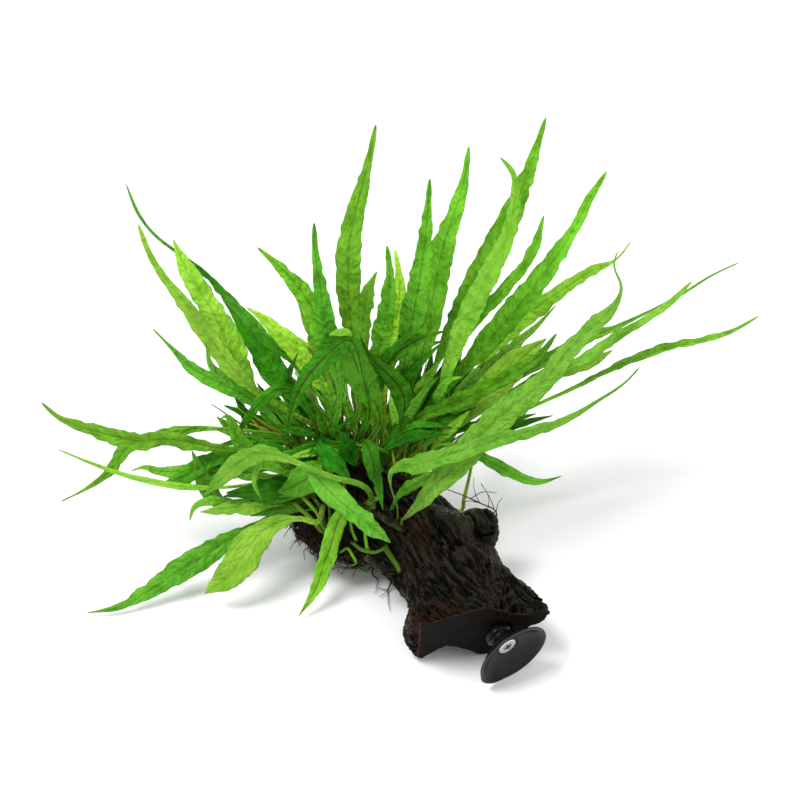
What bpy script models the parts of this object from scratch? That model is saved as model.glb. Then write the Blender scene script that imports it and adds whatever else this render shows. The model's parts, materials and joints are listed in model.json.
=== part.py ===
"""Java fern grown on a short driftwood log, with a suction cup screwed to the log's sawn end.

Everything is laid out in millimetres and turned into metres where a mesh is made. The log lies on
its flat foot, the fern's crown sits over the log's far end, and +Z is up. A place that is read off
the reference view is given as a pixel of that view (0 to 800 across and down) with its height above
the ground, and `sight` turns the three into a point in space.
"""

import math

import bmesh
import bpy
import numpy as np
from mathutils import Vector
from mathutils.bvhtree import BVHTree

MM = 0.001

# The reference view: its scale where it crosses the crown, its distance, its tilt, and its middle.
VIEW_SCALE = 2.47  # pixels per mm
VIEW_DISTANCE = 1000.0
VIEW_TILT = math.radians(40.0)
VIEW_MIDDLE = 400.0  # pixel, across and down
VIEW_HEIGHT = 69.7  # height of the point seen in the middle
ORIGIN = np.array([0.6, -8.5, 0.0])  # middle of the footprint, from the foot of the point in the middle

# The suction cup and its screw
CUP_RADIUS = 15.4
CUP_DEPTH = 13.0
CUP_AXIS = np.array([0.53, -0.828, -0.193])
CUP_RIM_PIXEL = (513.8, 654.8)
CUP_RIM_HEIGHT = 15.4
KNOB_RADIUS = 5.6
SCREW_HEAD_RADIUS = 4.0
SCREW_RADIUS = 2.0
SCREW_LENGTH = 16.0
SCREW_HEAD_DEPTH = 4.2  # from the rim's plane down to the head
GAP = 0.3

# The log
LOG_RINGS = 21
LOG_SIDES = 40

# The fern
BLADE_THICKNESS = 1.1
PETIOLE_WIDTH = 1.4
RHIZOME_RADIUS = 1.8
RING_SPACING = 11.5
CLEARANCE = 2.1  # between the middle planes of two fronds, along the line of sight
GROUND_CLEARANCE = 1.0
MOST_SLIDE = 24.0
SLIDE_EVENING = 0.12

TONES = {
    "light": (0.33, 0.62, 0.07),
    "green": (0.14, 0.42, 0.04),
    "dark": (0.04, 0.20, 0.03),
}

RIGHT = np.array([1.0, 0.0, 0.0])
UP = np.array([0.0, math.sin(VIEW_TILT), math.cos(VIEW_TILT)])
TOWARD = np.array([0.0, -math.cos(VIEW_TILT), math.sin(VIEW_TILT)])
MIDDLE = np.array([0.0, 0.0, VIEW_HEIGHT])
EYE = MIDDLE + VIEW_DISTANCE * TOWARD


def sight(across, down, height):
    """The point at this height on the line of sight through a pixel."""
    start = (
        MIDDLE
        + (across - VIEW_MIDDLE) / VIEW_SCALE * RIGHT
        + (VIEW_MIDDLE - down) / VIEW_SCALE * UP
    )
    return start + (height - start[2]) / (EYE[2] - start[2]) * (EYE - start)


def view_of(points):
    """Across, up and toward the eye, the first two as they show where the view's scale holds."""
    offset = points - MIDDLE
    toward = offset @ TOWARD
    spread = VIEW_DISTANCE / (VIEW_DISTANCE - toward)
    return offset @ RIGHT * spread, offset @ UP * spread, toward


def line_of_sight(points):
    ray = EYE - points
    return ray / (ray @ TOWARD)[..., None]


def unit(vectors):
    vectors = np.asarray(vectors, float)
    return vectors / np.linalg.norm(vectors, axis=-1, keepdims=True)


def smooth_step(value, low, high):
    t = np.clip((value - low) / (high - low), 0, 1)
    return t * t * (3 - 2 * t)


def along(points, steps):
    """A smooth curve through the points, with this many steps between two of them."""
    points = np.asarray(points, float)
    padded = np.vstack([2 * points[0] - points[1], points, 2 * points[-1] - points[-2]])
    t = np.linspace(0, 1, steps, endpoint=False)[:, None]
    pieces = []
    for a, b, c, d in zip(padded, padded[1:], padded[2:], padded[3:]):
        step = np.linalg.norm(c - b)
        start = (c - a) * step / max(np.linalg.norm(c - a), 1e-6)
        end = (d - b) * step / max(np.linalg.norm(d - b), 1e-6)
        pieces.append(
            (2 * t**3 - 3 * t**2 + 1) * b
            + (t**3 - 2 * t**2 + t) * start
            + (3 * t**2 - 2 * t**3) * c
            + (t**3 - t**2) * end
        )
    return np.vstack([*pieces, points[-1:]])


def lengths_of(path):
    return np.concatenate([[0], np.cumsum(np.linalg.norm(np.diff(path, axis=0), axis=1))])


def resample(path, at):
    """Points of the path at these lengths along it."""
    measured = lengths_of(path)
    return np.stack([np.interp(at, measured, path[:, axis]) for axis in range(3)], axis=1)


# ---------------------------------------------------------------- making objects


def material(name, colour, roughness, metallic=0.0):
    made = bpy.data.materials.new(name)
    made.use_nodes = True
    shader = made.node_tree.nodes["Principled BSDF"]
    shader.inputs["Base Color"].default_value = (*colour, 1)
    shader.inputs["Roughness"].default_value = roughness
    shader.inputs["Metallic"].default_value = metallic
    return made


def add_mesh(name, points, faces, collection, finish=None):
    """An object from points in mm."""
    mesh = bpy.data.meshes.new(name)
    mesh.from_pydata(((np.asarray(points) - ORIGIN) * MM).tolist(), [], faces)
    shell = bmesh.new()
    shell.from_mesh(mesh)
    bmesh.ops.recalc_face_normals(shell, faces=shell.faces)
    shell.to_mesh(mesh)
    shell.free()
    made = bpy.data.objects.new(name, mesh)
    collection.objects.link(made)
    if finish:
        mesh.materials.append(finish)
        mesh.shade_smooth()
        mesh.set_sharp_from_angle(angle=math.radians(40))
    else:
        hide(made)
    return made


def hide(helper):
    helper.hide_render = True
    helper.display_type = "WIRE"


def turned(name, profile, steps, place, axis, collection, finish=None):
    """A body turned from (radius, height) pairs in mm, standing at a place along an axis."""
    mesh = bpy.data.meshes.new(name)
    count = len(profile)
    open_ends = profile[0][0] == 0 and profile[-1][0] == 0
    edges = [(i, i + 1) for i in range(count - 1)] + ([] if open_ends else [(count - 1, 0)])
    mesh.from_pydata([(radius * MM, 0, height * MM) for radius, height in profile], edges, [])
    made = bpy.data.objects.new(name, mesh)
    collection.objects.link(made)
    screw = made.modifiers.new("turn", "SCREW")
    screw.steps = screw.render_steps = steps
    screw.use_merge_vertices = True
    screw.merge_threshold = 0.00001
    made.rotation_mode = "QUATERNION"
    made.rotation_quaternion = Vector(axis).to_track_quat("Z", "Y")
    made.location = Vector(((np.asarray(place) - ORIGIN) * MM).tolist())
    if finish:
        mesh.materials.append(finish)
    else:
        hide(made)
    return made


def combine(target, other, operation="DIFFERENCE"):
    boolean = target.modifiers.new(other.name, "BOOLEAN")
    boolean.operation = operation
    boolean.solver = "EXACT"
    boolean.object = other


def evaluated_tree(made):
    """A search tree of an object as it shows, in mm."""
    bpy.context.view_layer.update()
    graph = bpy.context.evaluated_depsgraph_get()
    shown = made.evaluated_get(graph)
    mesh = shown.to_mesh()
    points = [list(np.array(shown.matrix_world @ v.co) / MM + ORIGIN) for v in mesh.vertices]
    mesh.calc_loop_triangles()
    faces = [tuple(face.vertices) for face in mesh.loop_triangles]
    shown.to_mesh_clear()
    return BVHTree.FromPolygons(points, faces)


# ---------------------------------------------------------------- the driftwood

# The sawn end, in pixels from its left foot over the top edge, and the plane that it lies in
FACE_NORMAL = unit([0.13, -0.95, -0.27])
FACE_LOWEST = sight(477, 655, 0.0)
FACE_OUTLINE = [
    (421, 660), (411, 657), (406, 642), (410, 622), (430, 623), (450, 617), (470, 612), (484, 607),
    (499, 610), (515, 615), (530, 614), (546, 607), (550, 613), (545, 622), (529, 627), (516, 640),
    (500, 651), (482, 656), (464, 649), (447, 646), (434, 652),
]
# Middle of the log from the sawn end to the hidden far end: a pixel and a height, then the
# half-width across and the half-height of the section there
LOG_STATIONS = [
    (480, 633, 16.0, 27.0, 17.0),
    (471, 613, 17.5, 23.5, 19.0),
    (462, 594, 18.5, 20.5, 19.5),
    (450, 574, 18.5, 19.0, 19.5),
    (437, 557, 18.5, 19.0, 19.5),
    (420, 541, 18.5, 19.5, 20.0),
    (401, 527, 18.5, 20.0, 20.0),
    (382, 513, 18.5, 19.5, 20.0),
    (364, 500, 18.5, 17.5, 18.5),
    (348, 490, 18.5, 9.0, 10.0),
]
# Lobes on the log: a pixel and a height, the reach, and the width of each
LOG_LOBES = [
    (452, 508, 28.0, 2.0, 8.0),
    (404, 600, 18.0, 2.0, 9.0),
    (440, 600, 36.0, -2.5, 6.0),
]
# The stump of a side branch, a squat shoulder on the log's far side: a pixel and a height, its
# half-sizes, and how square it is, where 2 would be an oval
KNOT_PLACE = (479, 529, 27.0)
KNOT_HALF_SIZES = (8.0, 8.6, 8.0)
KNOT_SQUARENESS = 3.6


def end_plane():
    """Middle of the sawn end, and the ways across it and up it."""
    across = unit(np.cross([0, 0, 1.0], -FACE_NORMAL))
    up = unit(np.cross(-FACE_NORMAL, across))
    return on_end(*LOG_STATIONS[0][:2]), across, up


def on_end(across, down):
    """The point of the sawn end that a pixel shows."""
    start = sight(across, down, 0.0)
    ray = EYE - start
    return start + ((FACE_LOWEST - start) @ FACE_NORMAL) / (ray @ FACE_NORMAL) * ray


def end_shape(sides):
    """The sawn end's outline as evenly spaced points, from the far right round by the foot."""
    middle, across, up = end_plane()
    spots = np.array([on_end(*pixel) for pixel in FACE_OUTLINE]) - middle
    first = int(np.argmin(spots @ across))
    loop = np.vstack([np.roll(spots, -first, axis=0), spots[first]])
    even = np.linspace(0, lengths_of(loop)[-1], sides, endpoint=False)
    shape = resample(loop, even)
    return shape @ across, shape @ up


def log_rings(rings, sides, grow=0.0):
    """The log's skin as rings of points from the sawn end to the far end."""
    stations = np.array([[*sight(*row[:3]), row[3], row[4], 0.0] for row in LOG_STATIONS])
    stations[0, :3] = end_plane()[0]
    dense = np.hstack([along(stations[:, :3], 8), along(stations[:, 3:], 8)])
    measured = lengths_of(dense[:, :3])
    at = np.linspace(0, measured[-1], rings)
    centres = resample(dense[:, :3], at)
    wide = np.interp(at, measured, dense[:, 3])
    high = np.interp(at, measured, dense[:, 4])
    tangents = unit(np.gradient(centres, axis=0))
    angles = np.linspace(-math.pi, math.pi, sides, endpoint=False)
    end_across, end_up = end_shape(sides)
    lobes = [(sight(*row[:3]), row[3], row[4]) for row in LOG_LOBES]
    skin = []
    for index, centre in enumerate(centres):
        turn = smooth_step(index, 0, 4)
        forward = unit(tangents[index] * turn - FACE_NORMAL * (1 - turn))
        side = unit(np.cross([0, 0, 1.0], forward))
        above = np.cross(forward, side)
        oval = 1 / np.sqrt((np.cos(angles) / wide[index]) ** 2 + (np.sin(angles) / high[index]) ** 2)
        length = at[index]
        flutes = (
            0.9 * np.sin(3 * angles + 0.06 * length + 0.5)
            + 0.7 * np.sin(5 * angles - 0.09 * length + 1.9)
            + 0.5 * np.sin(9 * angles + 0.11 * length)
            + 0.6 * np.sin(0.21 * length + 2 * angles)
        )
        radius = oval + flutes * min(1, high[index] / 15)
        blend = smooth_step(index, 0, 5)
        across = (1 - blend) * end_across + blend * radius * np.cos(angles)
        up = (1 - blend) * end_up + blend * radius * np.sin(angles)
        ring = centre + across[:, None] * side + up[:, None] * above
        outward = unit(ring - centre)
        for spot, reach, width in lobes if index else []:
            near = np.exp(-(((ring - spot) ** 2).sum(axis=1)) / width**2)
            ring = ring + (reach * near)[:, None] * outward
        ring = ring + grow * outward
        ring[:, 2] = np.maximum(ring[:, 2], -grow)
        skin.append(ring)
    skin = np.array(skin)
    skin[0] += FACE_NORMAL * grow
    return skin


def log_mesh(name, collection, finish=None, grow=0.0):
    skin = log_rings(LOG_RINGS, LOG_SIDES, grow)
    rings, sides = skin.shape[:2]
    end = skin[-1].mean(axis=0)
    far_tip = end + unit(end - skin[-2].mean(axis=0)) * (3 + grow)
    points = np.vstack([skin.reshape(-1, 3), far_tip])
    tip = len(points) - 1
    faces = [tuple(range(sides))]
    for ring in range(rings - 1):
        for side in range(sides):
            beside = (side + 1) % sides
            near, far = ring * sides, (ring + 1) * sides
            faces.append((near + side, near + beside, far + beside, far + side))
    last = (rings - 1) * sides
    for side in range(sides):
        faces.append((last + side, last + (side + 1) % sides, tip))
    return add_mesh(name, points, faces, collection, finish)


def ball(place, half_sizes, subdivisions, shape=None):
    """A mesh of a ball stretched to its half-sizes, each point moved by `shape` if given."""
    mesh = bmesh.new()
    bmesh.ops.create_icosphere(mesh, subdivisions=subdivisions, radius=1.0)
    for vertex in mesh.verts:
        way = np.array(vertex.co)
        spot = place + way * np.array(half_sizes)
        if shape:
            spot = shape(way, spot)
        vertex.co = Vector(((spot - ORIGIN) * MM).tolist())
    made = bpy.data.meshes.new("ball")
    mesh.to_mesh(made)
    mesh.free()
    return made


def knot(helpers):
    """The stump of a side branch, to be joined to the log."""
    place = sight(*KNOT_PLACE)

    def squared(way, spot):
        return place + (spot - place) / (np.abs(way) ** KNOT_SQUARENESS).sum() ** (1 / KNOT_SQUARENESS)

    mesh = ball(place, KNOT_HALF_SIZES, 2, squared)
    made = bpy.data.objects.new("knot", mesh)
    helpers.objects.link(made)
    hide(made)
    return made


# ---------------------------------------------------------------- the suction cup and its screw


def rim_centre():
    return sight(*CUP_RIM_PIXEL, CUP_RIM_HEIGHT)


# (radius, distance in from the rim's plane), down the outside and back up the inside
CUP_PROFILE = [
    (CUP_RADIUS - 0.1, 0.0), (CUP_RADIUS, 0.5), (13.4, 1.9), (11.2, 3.6), (8.6, 5.1), (6.2, 6.3),
    (4.7, 7.6), (4.5, CUP_DEPTH - 3.8), (KNOB_RADIUS, CUP_DEPTH - 2.8), (KNOB_RADIUS, CUP_DEPTH - 0.6),
    (KNOB_RADIUS - 0.5, CUP_DEPTH),
    (SCREW_RADIUS + GAP, CUP_DEPTH), (SCREW_RADIUS + GAP, SCREW_HEAD_DEPTH + 2.8),
    (SCREW_HEAD_RADIUS + GAP, SCREW_HEAD_DEPTH + 0.8), (SCREW_HEAD_RADIUS + GAP, SCREW_HEAD_DEPTH),
    (5.6, 3.9), (8.4, 3.4), (11.0, 2.3), (13.0, 0.9), (CUP_RADIUS - 1.2, 0.0),
]
TAB_DIRECTION = unit([-0.62, -0.2, -0.75])
TAB_REACH = 1.3
CUP_SIDES = 32


def suction_cup(collection, finish):
    axis = unit(CUP_AXIS)
    profile = [(radius, -inward) for radius, inward in CUP_PROFILE]
    cup = turned("suction_cup", profile, CUP_SIDES, rim_centre(), axis, collection)
    graph = bpy.context.evaluated_depsgraph_get()
    mesh = bpy.data.meshes.new_from_object(cup.evaluated_get(graph))
    mesh.name = "suction_cup"
    turn = cup.rotation_quaternion.to_matrix()
    tab = Vector(TAB_DIRECTION)
    for vertex in mesh.vertices:
        flat = Vector((vertex.co.x, vertex.co.y, 0))
        radius = flat.length / MM
        if radius < 12:
            continue
        facing = (turn @ flat.normalized()).dot(tab)
        share = smooth_step(facing, 0.86, 0.97) * smooth_step(radius, 12, 13.6)
        vertex.co += flat.normalized() * float(TAB_REACH * share * MM)
    made = bpy.data.objects.new("suction_cup", mesh)
    collection.objects.link(made)
    made.rotation_mode = "QUATERNION"
    made.rotation_quaternion = cup.rotation_quaternion
    made.location = cup.location
    bpy.data.objects.remove(cup)
    made.name = "suction_cup"
    mesh.materials.append(finish)
    mesh.shade_smooth()
    mesh.set_sharp_from_angle(angle=math.radians(40))
    return made


def screw(collection, helpers, finish):
    axis = unit(CUP_AXIS)
    profile = [
        (0, 0), (SCREW_HEAD_RADIUS - 0.25, 0), (SCREW_HEAD_RADIUS, -0.2), (SCREW_HEAD_RADIUS, -0.45),
        (SCREW_RADIUS, -2.3), (SCREW_RADIUS, -SCREW_LENGTH + 2.5), (0, -SCREW_LENGTH),
    ]
    place = rim_centre() - axis * SCREW_HEAD_DEPTH
    made = turned("suction_screw", profile, 24, place, axis, collection, finish)
    # The six-lobe recess in the head
    recess = bpy.data.curves.new("screw_recess", "CURVE")
    recess.dimensions = "2D"
    recess.fill_mode = "BOTH"
    recess.extrude = 1.6 * MM
    spline = recess.splines.new("POLY")
    sides = 24
    spline.points.add(sides - 1)
    for index, point in enumerate(spline.points):
        angle = 2 * math.pi * index / sides
        radius = (1.75 + 0.32 * math.cos(6 * angle)) * MM
        point.co = (radius * math.cos(angle), radius * math.sin(angle), 0, 1)
    spline.use_cyclic_u = True
    outline = bpy.data.objects.new("screw_recess_outline", recess)
    helpers.objects.link(outline)
    bpy.context.view_layer.update()
    graph = bpy.context.evaluated_depsgraph_get()
    mesh = bpy.data.meshes.new_from_object(outline.evaluated_get(graph))
    bpy.data.objects.remove(outline)
    welded = bmesh.new()
    welded.from_mesh(mesh)
    bmesh.ops.remove_doubles(welded, verts=welded.verts, dist=0.000001)
    bmesh.ops.recalc_face_normals(welded, faces=welded.faces)
    welded.to_mesh(mesh)
    welded.free()
    cutter = bpy.data.objects.new("screw_recess", mesh)
    helpers.objects.link(cutter)
    cutter.rotation_mode = "QUATERNION"
    cutter.rotation_quaternion = made.rotation_quaternion
    cutter.location = made.location
    hide(cutter)
    combine(made, cutter)
    return made


def screw_seat(helpers):
    """Room in the log for the cup's knob and the screw's shank."""
    axis = unit(CUP_AXIS)
    seat = KNOB_RADIUS + 0.8
    depth = SCREW_HEAD_DEPTH + SCREW_LENGTH + 0.6
    profile = [
        (0, 12.0), (seat, 12.0), (seat, 0), (SCREW_RADIUS + GAP, 0),
        (SCREW_RADIUS + GAP, -(depth - CUP_DEPTH)), (0, -(depth - CUP_DEPTH)),
    ]
    return turned("screw_seat", profile, 24, rim_centre() - axis * (CUP_DEPTH + GAP), axis, helpers)


# ---------------------------------------------------------------- the root mass

MAT_MIDDLE = (344, 507, 22.0)
MAT_HALF_SIZES = (21.5, 25.0, 19.0)
# Lumps on the root mass: a pixel and a height, the reach, and the width of each
MAT_LUMPS = [
    (385, 574, 12.0, 8.0, 9.0),
    (360, 566, 12.0, 4.0, 9.0),
    (300, 528, 18.0, 3.0, 8.0),
    (330, 552, 12.0, 2.5, 8.0),
    (330, 470, 38.0, 2.5, 9.0),
]


def root_mat(collection, helpers, finish):
    """A felt of roots wrapped round the log's far end."""
    middle = sight(*MAT_MIDDLE)
    lumps = [(sight(*row[:3]), row[3], row[4]) for row in MAT_LUMPS]

    def shape(way, spot):
        ripple = (
            0.05 * math.sin(5 * way[0] + 4 * way[1] + 1)
            + 0.05 * math.sin(7 * way[1] - 6 * way[2])
            + 0.03 * math.sin(13 * way[0] + 9 * way[2] + 2)
        )
        spot = spot + (spot - middle) * ripple
        for place, reach, width in lumps:
            near = math.exp(-float(((spot - place) ** 2).sum()) / width**2)
            spot = spot + unit(spot - middle) * reach * near
        spot[2] = max(spot[2], GAP)
        return spot

    mesh = ball(middle, MAT_HALF_SIZES, 3, shape)
    mesh.name = "root_mat"
    made = bpy.data.objects.new("root_mat", mesh)
    collection.objects.link(made)
    mesh.materials.append(finish)
    mesh.shade_smooth()
    combine(made, log_mesh("log_room", helpers, grow=GAP))
    return made


# ---------------------------------------------------------------- the rhizomes

# Each creeps over the log and the root mass: pixels with heights, snapped to the nearest surface
RHIZOMES = {
    "rhizome_1": [
        (418, 487, 37), (396, 477, 38), (368, 466, 40), (340, 460, 44), (314, 462, 41), (298, 470, 38),
    ],
    "rhizome_2": [
        (406, 531, 36), (386, 518, 36), (360, 506, 37), (334, 500, 38), (312, 503, 35), (295, 514, 29),
    ],
    "rhizome_3": [
        (420, 450, 36), (392, 445, 42), (364, 443, 45), (342, 445, 45), (326, 448, 44),
    ],
}
STUB = [(366, 556, 27.0), (376, 566, 25.0), (386, 571, 22.0), (396, 572, 20.0), (401, 569, 20.0)]
STUB_SPACING = 2.4


def is_inside(tree, spot):
    """Whether a point is inside a solid, by the surfaces crossed straight above it."""
    start = Vector(spot)
    crossed = 0
    while True:
        hit = tree.ray_cast(start, Vector((0, 0, 1)))[0]
        if hit is None:
            return crossed % 2 == 1
        crossed += 1
        start = hit + Vector((0, 0, 0.001))


def pushed_off(tree, spot, distance):
    """The point, moved straight away from a solid's surface until it is this far outside."""
    found = np.array(tree.find_nearest(Vector(spot))[0])
    away = spot - found
    gap = np.linalg.norm(away)
    outward = away / max(gap, 1e-6)
    if is_inside(tree, spot):
        outward, gap = -outward, -gap
    return spot + outward * max(distance - gap, 0)


def lie_on(trees, spot, lift):
    """The nearest place on the solids' surfaces, lifted off it."""
    nearest = min((tree.find_nearest(Vector(spot)) for tree in trees), key=lambda hit: hit[3])
    found = np.array(nearest[0])
    return found + unit(spot - found) * lift


def rhizome_paths(trees):
    paths = {}
    for name, pixels in RHIZOMES.items():
        coarse = along([sight(*pixel) for pixel in pixels], 4)
        spots = [lie_on(trees, spot, RHIZOME_RADIUS + 1.0) for spot in coarse]
        paths[name] = clear_of(trees, np.array(spots), RHIZOME_RADIUS + 0.7)
    stub = clear_of(trees, along([sight(*row) for row in STUB], 3), RHIZOME_RADIUS + 0.7)
    length = lengths_of(stub)[-1]
    paths["rhizome_4"] = resample(stub, np.linspace(0, length, round(length / STUB_SPACING) + 1))
    return paths


def clear_of(trees, path, distance):
    """The path, smoothed and held at least this far outside the solids."""
    for _ in range(12):
        path[1:-1] = 0.5 * path[1:-1] + 0.25 * (path[:-2] + path[2:])
        for index, spot in enumerate(path):
            for tree in trees:
                spot = pushed_off(tree, spot, distance)
            path[index] = spot
    return path


def rhizome(name, path, collection, finish):
    curve = bpy.data.curves.new(name, "CURVE")
    curve.dimensions = "3D"
    curve.bevel_depth = RHIZOME_RADIUS * MM
    curve.bevel_resolution = 1
    curve.use_fill_caps = True
    spline = curve.splines.new("POLY")
    spline.points.add(len(path) - 1)
    for index, (point, spot) in enumerate(zip(spline.points, path)):
        point.co = (*((spot - ORIGIN) * MM), 1)
        point.radius = 1 + 0.12 * math.sin(2.1 * index + len(path))
    made = bpy.data.objects.new(name, curve)
    collection.objects.link(made)
    curve.materials.append(finish)
    return made


# ---------------------------------------------------------------- the fronds

FRONDS = []


def frond(runner, place, tone, width, petiole, turn, path, tail=0.0, peak=0.42, taper=1.35):
    """Notes one frond.

    It grows from a rhizome, this share of the way along it. Its blade has a tone and a greatest
    width in mm, and is turned from the eye by an angle in degrees. The petiole and the thread at
    the tip are shares of the length, and the peak is the share of the blade where it is widest.
    The higher the taper, the fuller the blade past its peak. The path runs from the petiole to
    the tip, in pixels with heights in mm.
    """
    FRONDS.append((runner, place, tone, width, petiole, turn, path, tail, peak, taper))


# The tall ones in the middle, from left to right
frond(1, 0.65, "green", 10.0, 0.22, 5,
    [(360, 405, 72), (350, 317, 110), (349, 248, 144), (358, 202, 163), (368, 165, 180),
     (376, 124, 196)], peak=0.48)
frond(1, 0.70, "green", 8.5, 0.25, 10,
    [(340, 395, 78), (328, 335, 110), (321, 290, 131), (315, 250, 148), (314, 222, 158)])
frond(1, 0.75, "green", 9.5, 0.25, 10,
    [(342, 395, 76), (328, 345, 100), (308, 301, 118), (286, 273, 130), (257, 247, 140)], taper=1.7)
frond(1, 0.46, "dark", 8.0, 0.28, 10,
    [(374, 398, 72), (377, 360, 93), (385, 321, 114), (390, 288, 131), (387, 245, 151)], taper=1.6)
frond(3, 0.43, "light", 8.0, 0.28, 10,
    [(384, 398, 70), (390, 345, 96), (398, 314, 110), (400, 286, 124), (395, 249, 138)], taper=1.7)
frond(3, 0.50, "dark", 9.5, 0.30, 0,
    [(362, 400, 70), (362, 340, 98), (365, 305, 114), (369, 285, 124), (377, 271, 130)], peak=0.75)
frond(1, 0.36, "green", 10.0, 0.25, 10,
    [(400, 385, 78), (409, 335, 103), (419, 285, 128), (426, 232, 151), (430, 178, 173)], taper=1.5)
frond(3, 0.37, "green", 10.5, 0.25, 5,
    [(408, 392, 72), (426, 338, 101), (435, 284, 124), (446, 236, 146), (461, 195, 164),
     (469, 146, 184)], taper=1.7)
frond(3, 0.30, "green", 10.5, 0.25, 5,
    [(424, 395, 70), (441, 352, 90), (460, 315, 107), (485, 267, 129), (510, 217, 149),
     (527, 176, 165), (546, 117, 188)], taper=1.8)
frond(1, 0.25, "light", 11.0, 0.22, 10,
    [(434, 412, 72), (446, 374, 90), (465, 324, 112), (484, 284, 130), (504, 245, 146),
     (514, 211, 158), (513, 172, 172), (500, 157, 177)], taper=2.0)
frond(3, 0.24, "green", 6.0, 0.30, 20,
    [(432, 398, 70), (452, 350, 90), (474, 321, 104), (500, 294, 118), (526, 263, 132),
     (538, 238, 142), (544, 215, 150)])
frond(3, 0.18, "green", 10.0, 0.22, 5,
    [(436, 404, 66), (461, 372, 81), (500, 327, 100), (542, 276, 122), (578, 222, 142),
     (597, 185, 156), (607, 171, 162)], tail=0.04, taper=1.5)
frond(3, 0.12, "light", 8.5, 0.35, 10,
    [(445, 402, 62), (482, 364, 76), (517, 322, 90), (557, 294, 104), (591, 271, 114),
     (616, 260, 120), (632, 240, 128)], tail=0.13, taper=1.8)
# Those that lean to the right
frond(2, 0.02, "light", 11.5, 0.04, 5,
    [(404, 519, 46), (419, 504, 53), (440, 480, 61), (459, 460, 67), (507, 411, 83),
     (543, 383, 94), (572, 347, 104), (605, 315, 114), (622, 292, 120), (613, 263, 126),
     (618, 250, 129)], tail=0.17, peak=0.28, taper=2.2)
frond(3, 0.07, "dark", 6.5, 0.35, 40,
    [(450, 418, 60), (492, 392, 69), (538, 367, 78), (575, 344, 86), (610, 330, 93),
     (644, 314, 100), (686, 292, 107), (719, 271, 113), (740, 262, 115)], tail=0.26)
frond(1, 0.10, "light", 5.5, 0.35, 35,
    [(452, 430, 60), (492, 406, 70), (535, 380, 79), (575, 364, 88), (619, 336, 99),
     (658, 312, 108), (681, 293, 114), (692, 281, 119)], tail=0.02, peak=0.55)
frond(1, 0.06, "dark", 6.0, 0.30, 55,
    [(462, 442, 56), (492, 425, 63), (531, 407, 70), (566, 392, 76), (615, 367, 83),
     (672, 347, 90), (710, 338, 93), (744, 326, 96), (759, 316, 98)], peak=0.7)
frond(2, 0.08, "light", 7.5, 0.08, 5,
    [(390, 472, 56), (411, 467, 62), (442, 457, 69), (473, 448, 73), (519, 434, 78),
     (557, 424, 80), (596, 402, 82), (630, 379, 84), (640, 367, 85)], tail=0.12, peak=0.25)
frond(1, 0.02, "green", 5.0, 0.22, 5,
    [(440, 444, 62), (460, 449, 64), (482, 456, 63), (501, 468, 59), (519, 477, 55),
     (542, 482, 50), (562, 476, 48)], peak=0.55)
frond(3, 0.02, "light", 6.0, 0.40, 5,
    [(460, 418, 58), (505, 396, 66), (554, 372, 74), (589, 363, 78), (605, 356, 81), (613, 350, 83)],
    peak=0.7)
frond(1, 0.30, "dark", 7.0, 0.12, 10,
    [(392, 432, 62), (411, 421, 68), (442, 408, 76), (472, 396, 82), (498, 382, 88),
     (538, 357, 98), (557, 333, 105)], peak=0.5)
frond(1, 0.20, "dark", 6.0, 0.25, 15,
    [(440, 414, 66), (470, 388, 78), (498, 359, 88), (528, 334, 98), (546, 317, 104),
     (557, 304, 108)])
frond(1, 0.15, "light", 12.5, 0.20, 0,
    [(450, 424, 64), (480, 400, 75), (505, 374, 85), (527, 353, 94), (547, 338, 100)], peak=0.7)
# Those that lean to the left
frond(3, 0.72, "dark", 9.0, 0.30, 62,
    [(322, 400, 76), (290, 360, 93), (250, 321, 112), (211, 277, 130), (163, 242, 146),
     (143, 222, 152), (126, 184, 166)], tail=0.2)
frond(3, 0.80, "light", 7.5, 0.30, 20,
    [(290, 412, 70), (252, 388, 84), (223, 357, 96), (185, 303, 118), (165, 279, 128),
     (149, 253, 136), (138, 224, 146)], tail=0.08, taper=1.8)
frond(1, 0.90, "light", 12.5, 0.28, 0,
    [(285, 418, 66), (258, 396, 78), (238, 370, 90), (222, 330, 108), (205, 299, 122),
     (186, 269, 136), (173, 239, 147)], tail=0.05)
frond(1, 0.85, "dark", 11.0, 0.28, 5,
    [(312, 412, 68), (282, 384, 82), (264, 352, 94), (244, 324, 104), (221, 296, 112)], peak=0.5)
frond(3, 0.62, "light", 11.5, 0.25, 5,
    [(334, 396, 72), (311, 364, 84), (294, 350, 90), (276, 333, 95), (262, 316, 99),
     (246, 307, 101)], peak=0.5)
frond(2, 0.72, "green", 6.5, 0.30, 10,
    [(290, 440, 62), (262, 406, 76), (230, 388, 84), (192, 368, 90), (169, 345, 93), (152, 328, 96)],
    tail=0.06, peak=0.5)
frond(2, 0.85, "green", 8.0, 0.25, 35,
    [(290, 462, 56), (257, 451, 62), (211, 447, 65), (174, 439, 66), (139, 441, 66),
     (106, 434, 66), (68, 422, 69), (50, 412, 73), (41, 402, 77)], peak=0.5, taper=1.8)
frond(1, 0.96, "dark", 7.5, 0.38, 15,
    [(290, 440, 60), (258, 432, 67), (225, 429, 70), (183, 430, 70), (153, 440, 66),
     (129, 445, 57), (112, 469, 45), (86, 489, 35), (60, 502, 29)], tail=0.04)
frond(2, 0.88, "light", 3.0, 0.30, 10,
    [(275, 482, 46), (240, 486, 48), (202, 488, 48), (173, 485, 48), (135, 478, 50), (96, 465, 54),
     (57, 449, 60)], peak=0.3)
frond(2, 0.81, "dark", 7.5, 0.30, 10,
    [(288, 464, 54), (246, 456, 58), (215, 457, 56), (192, 473, 50), (176, 479, 46), (160, 485, 42)],
    peak=0.7)
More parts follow.
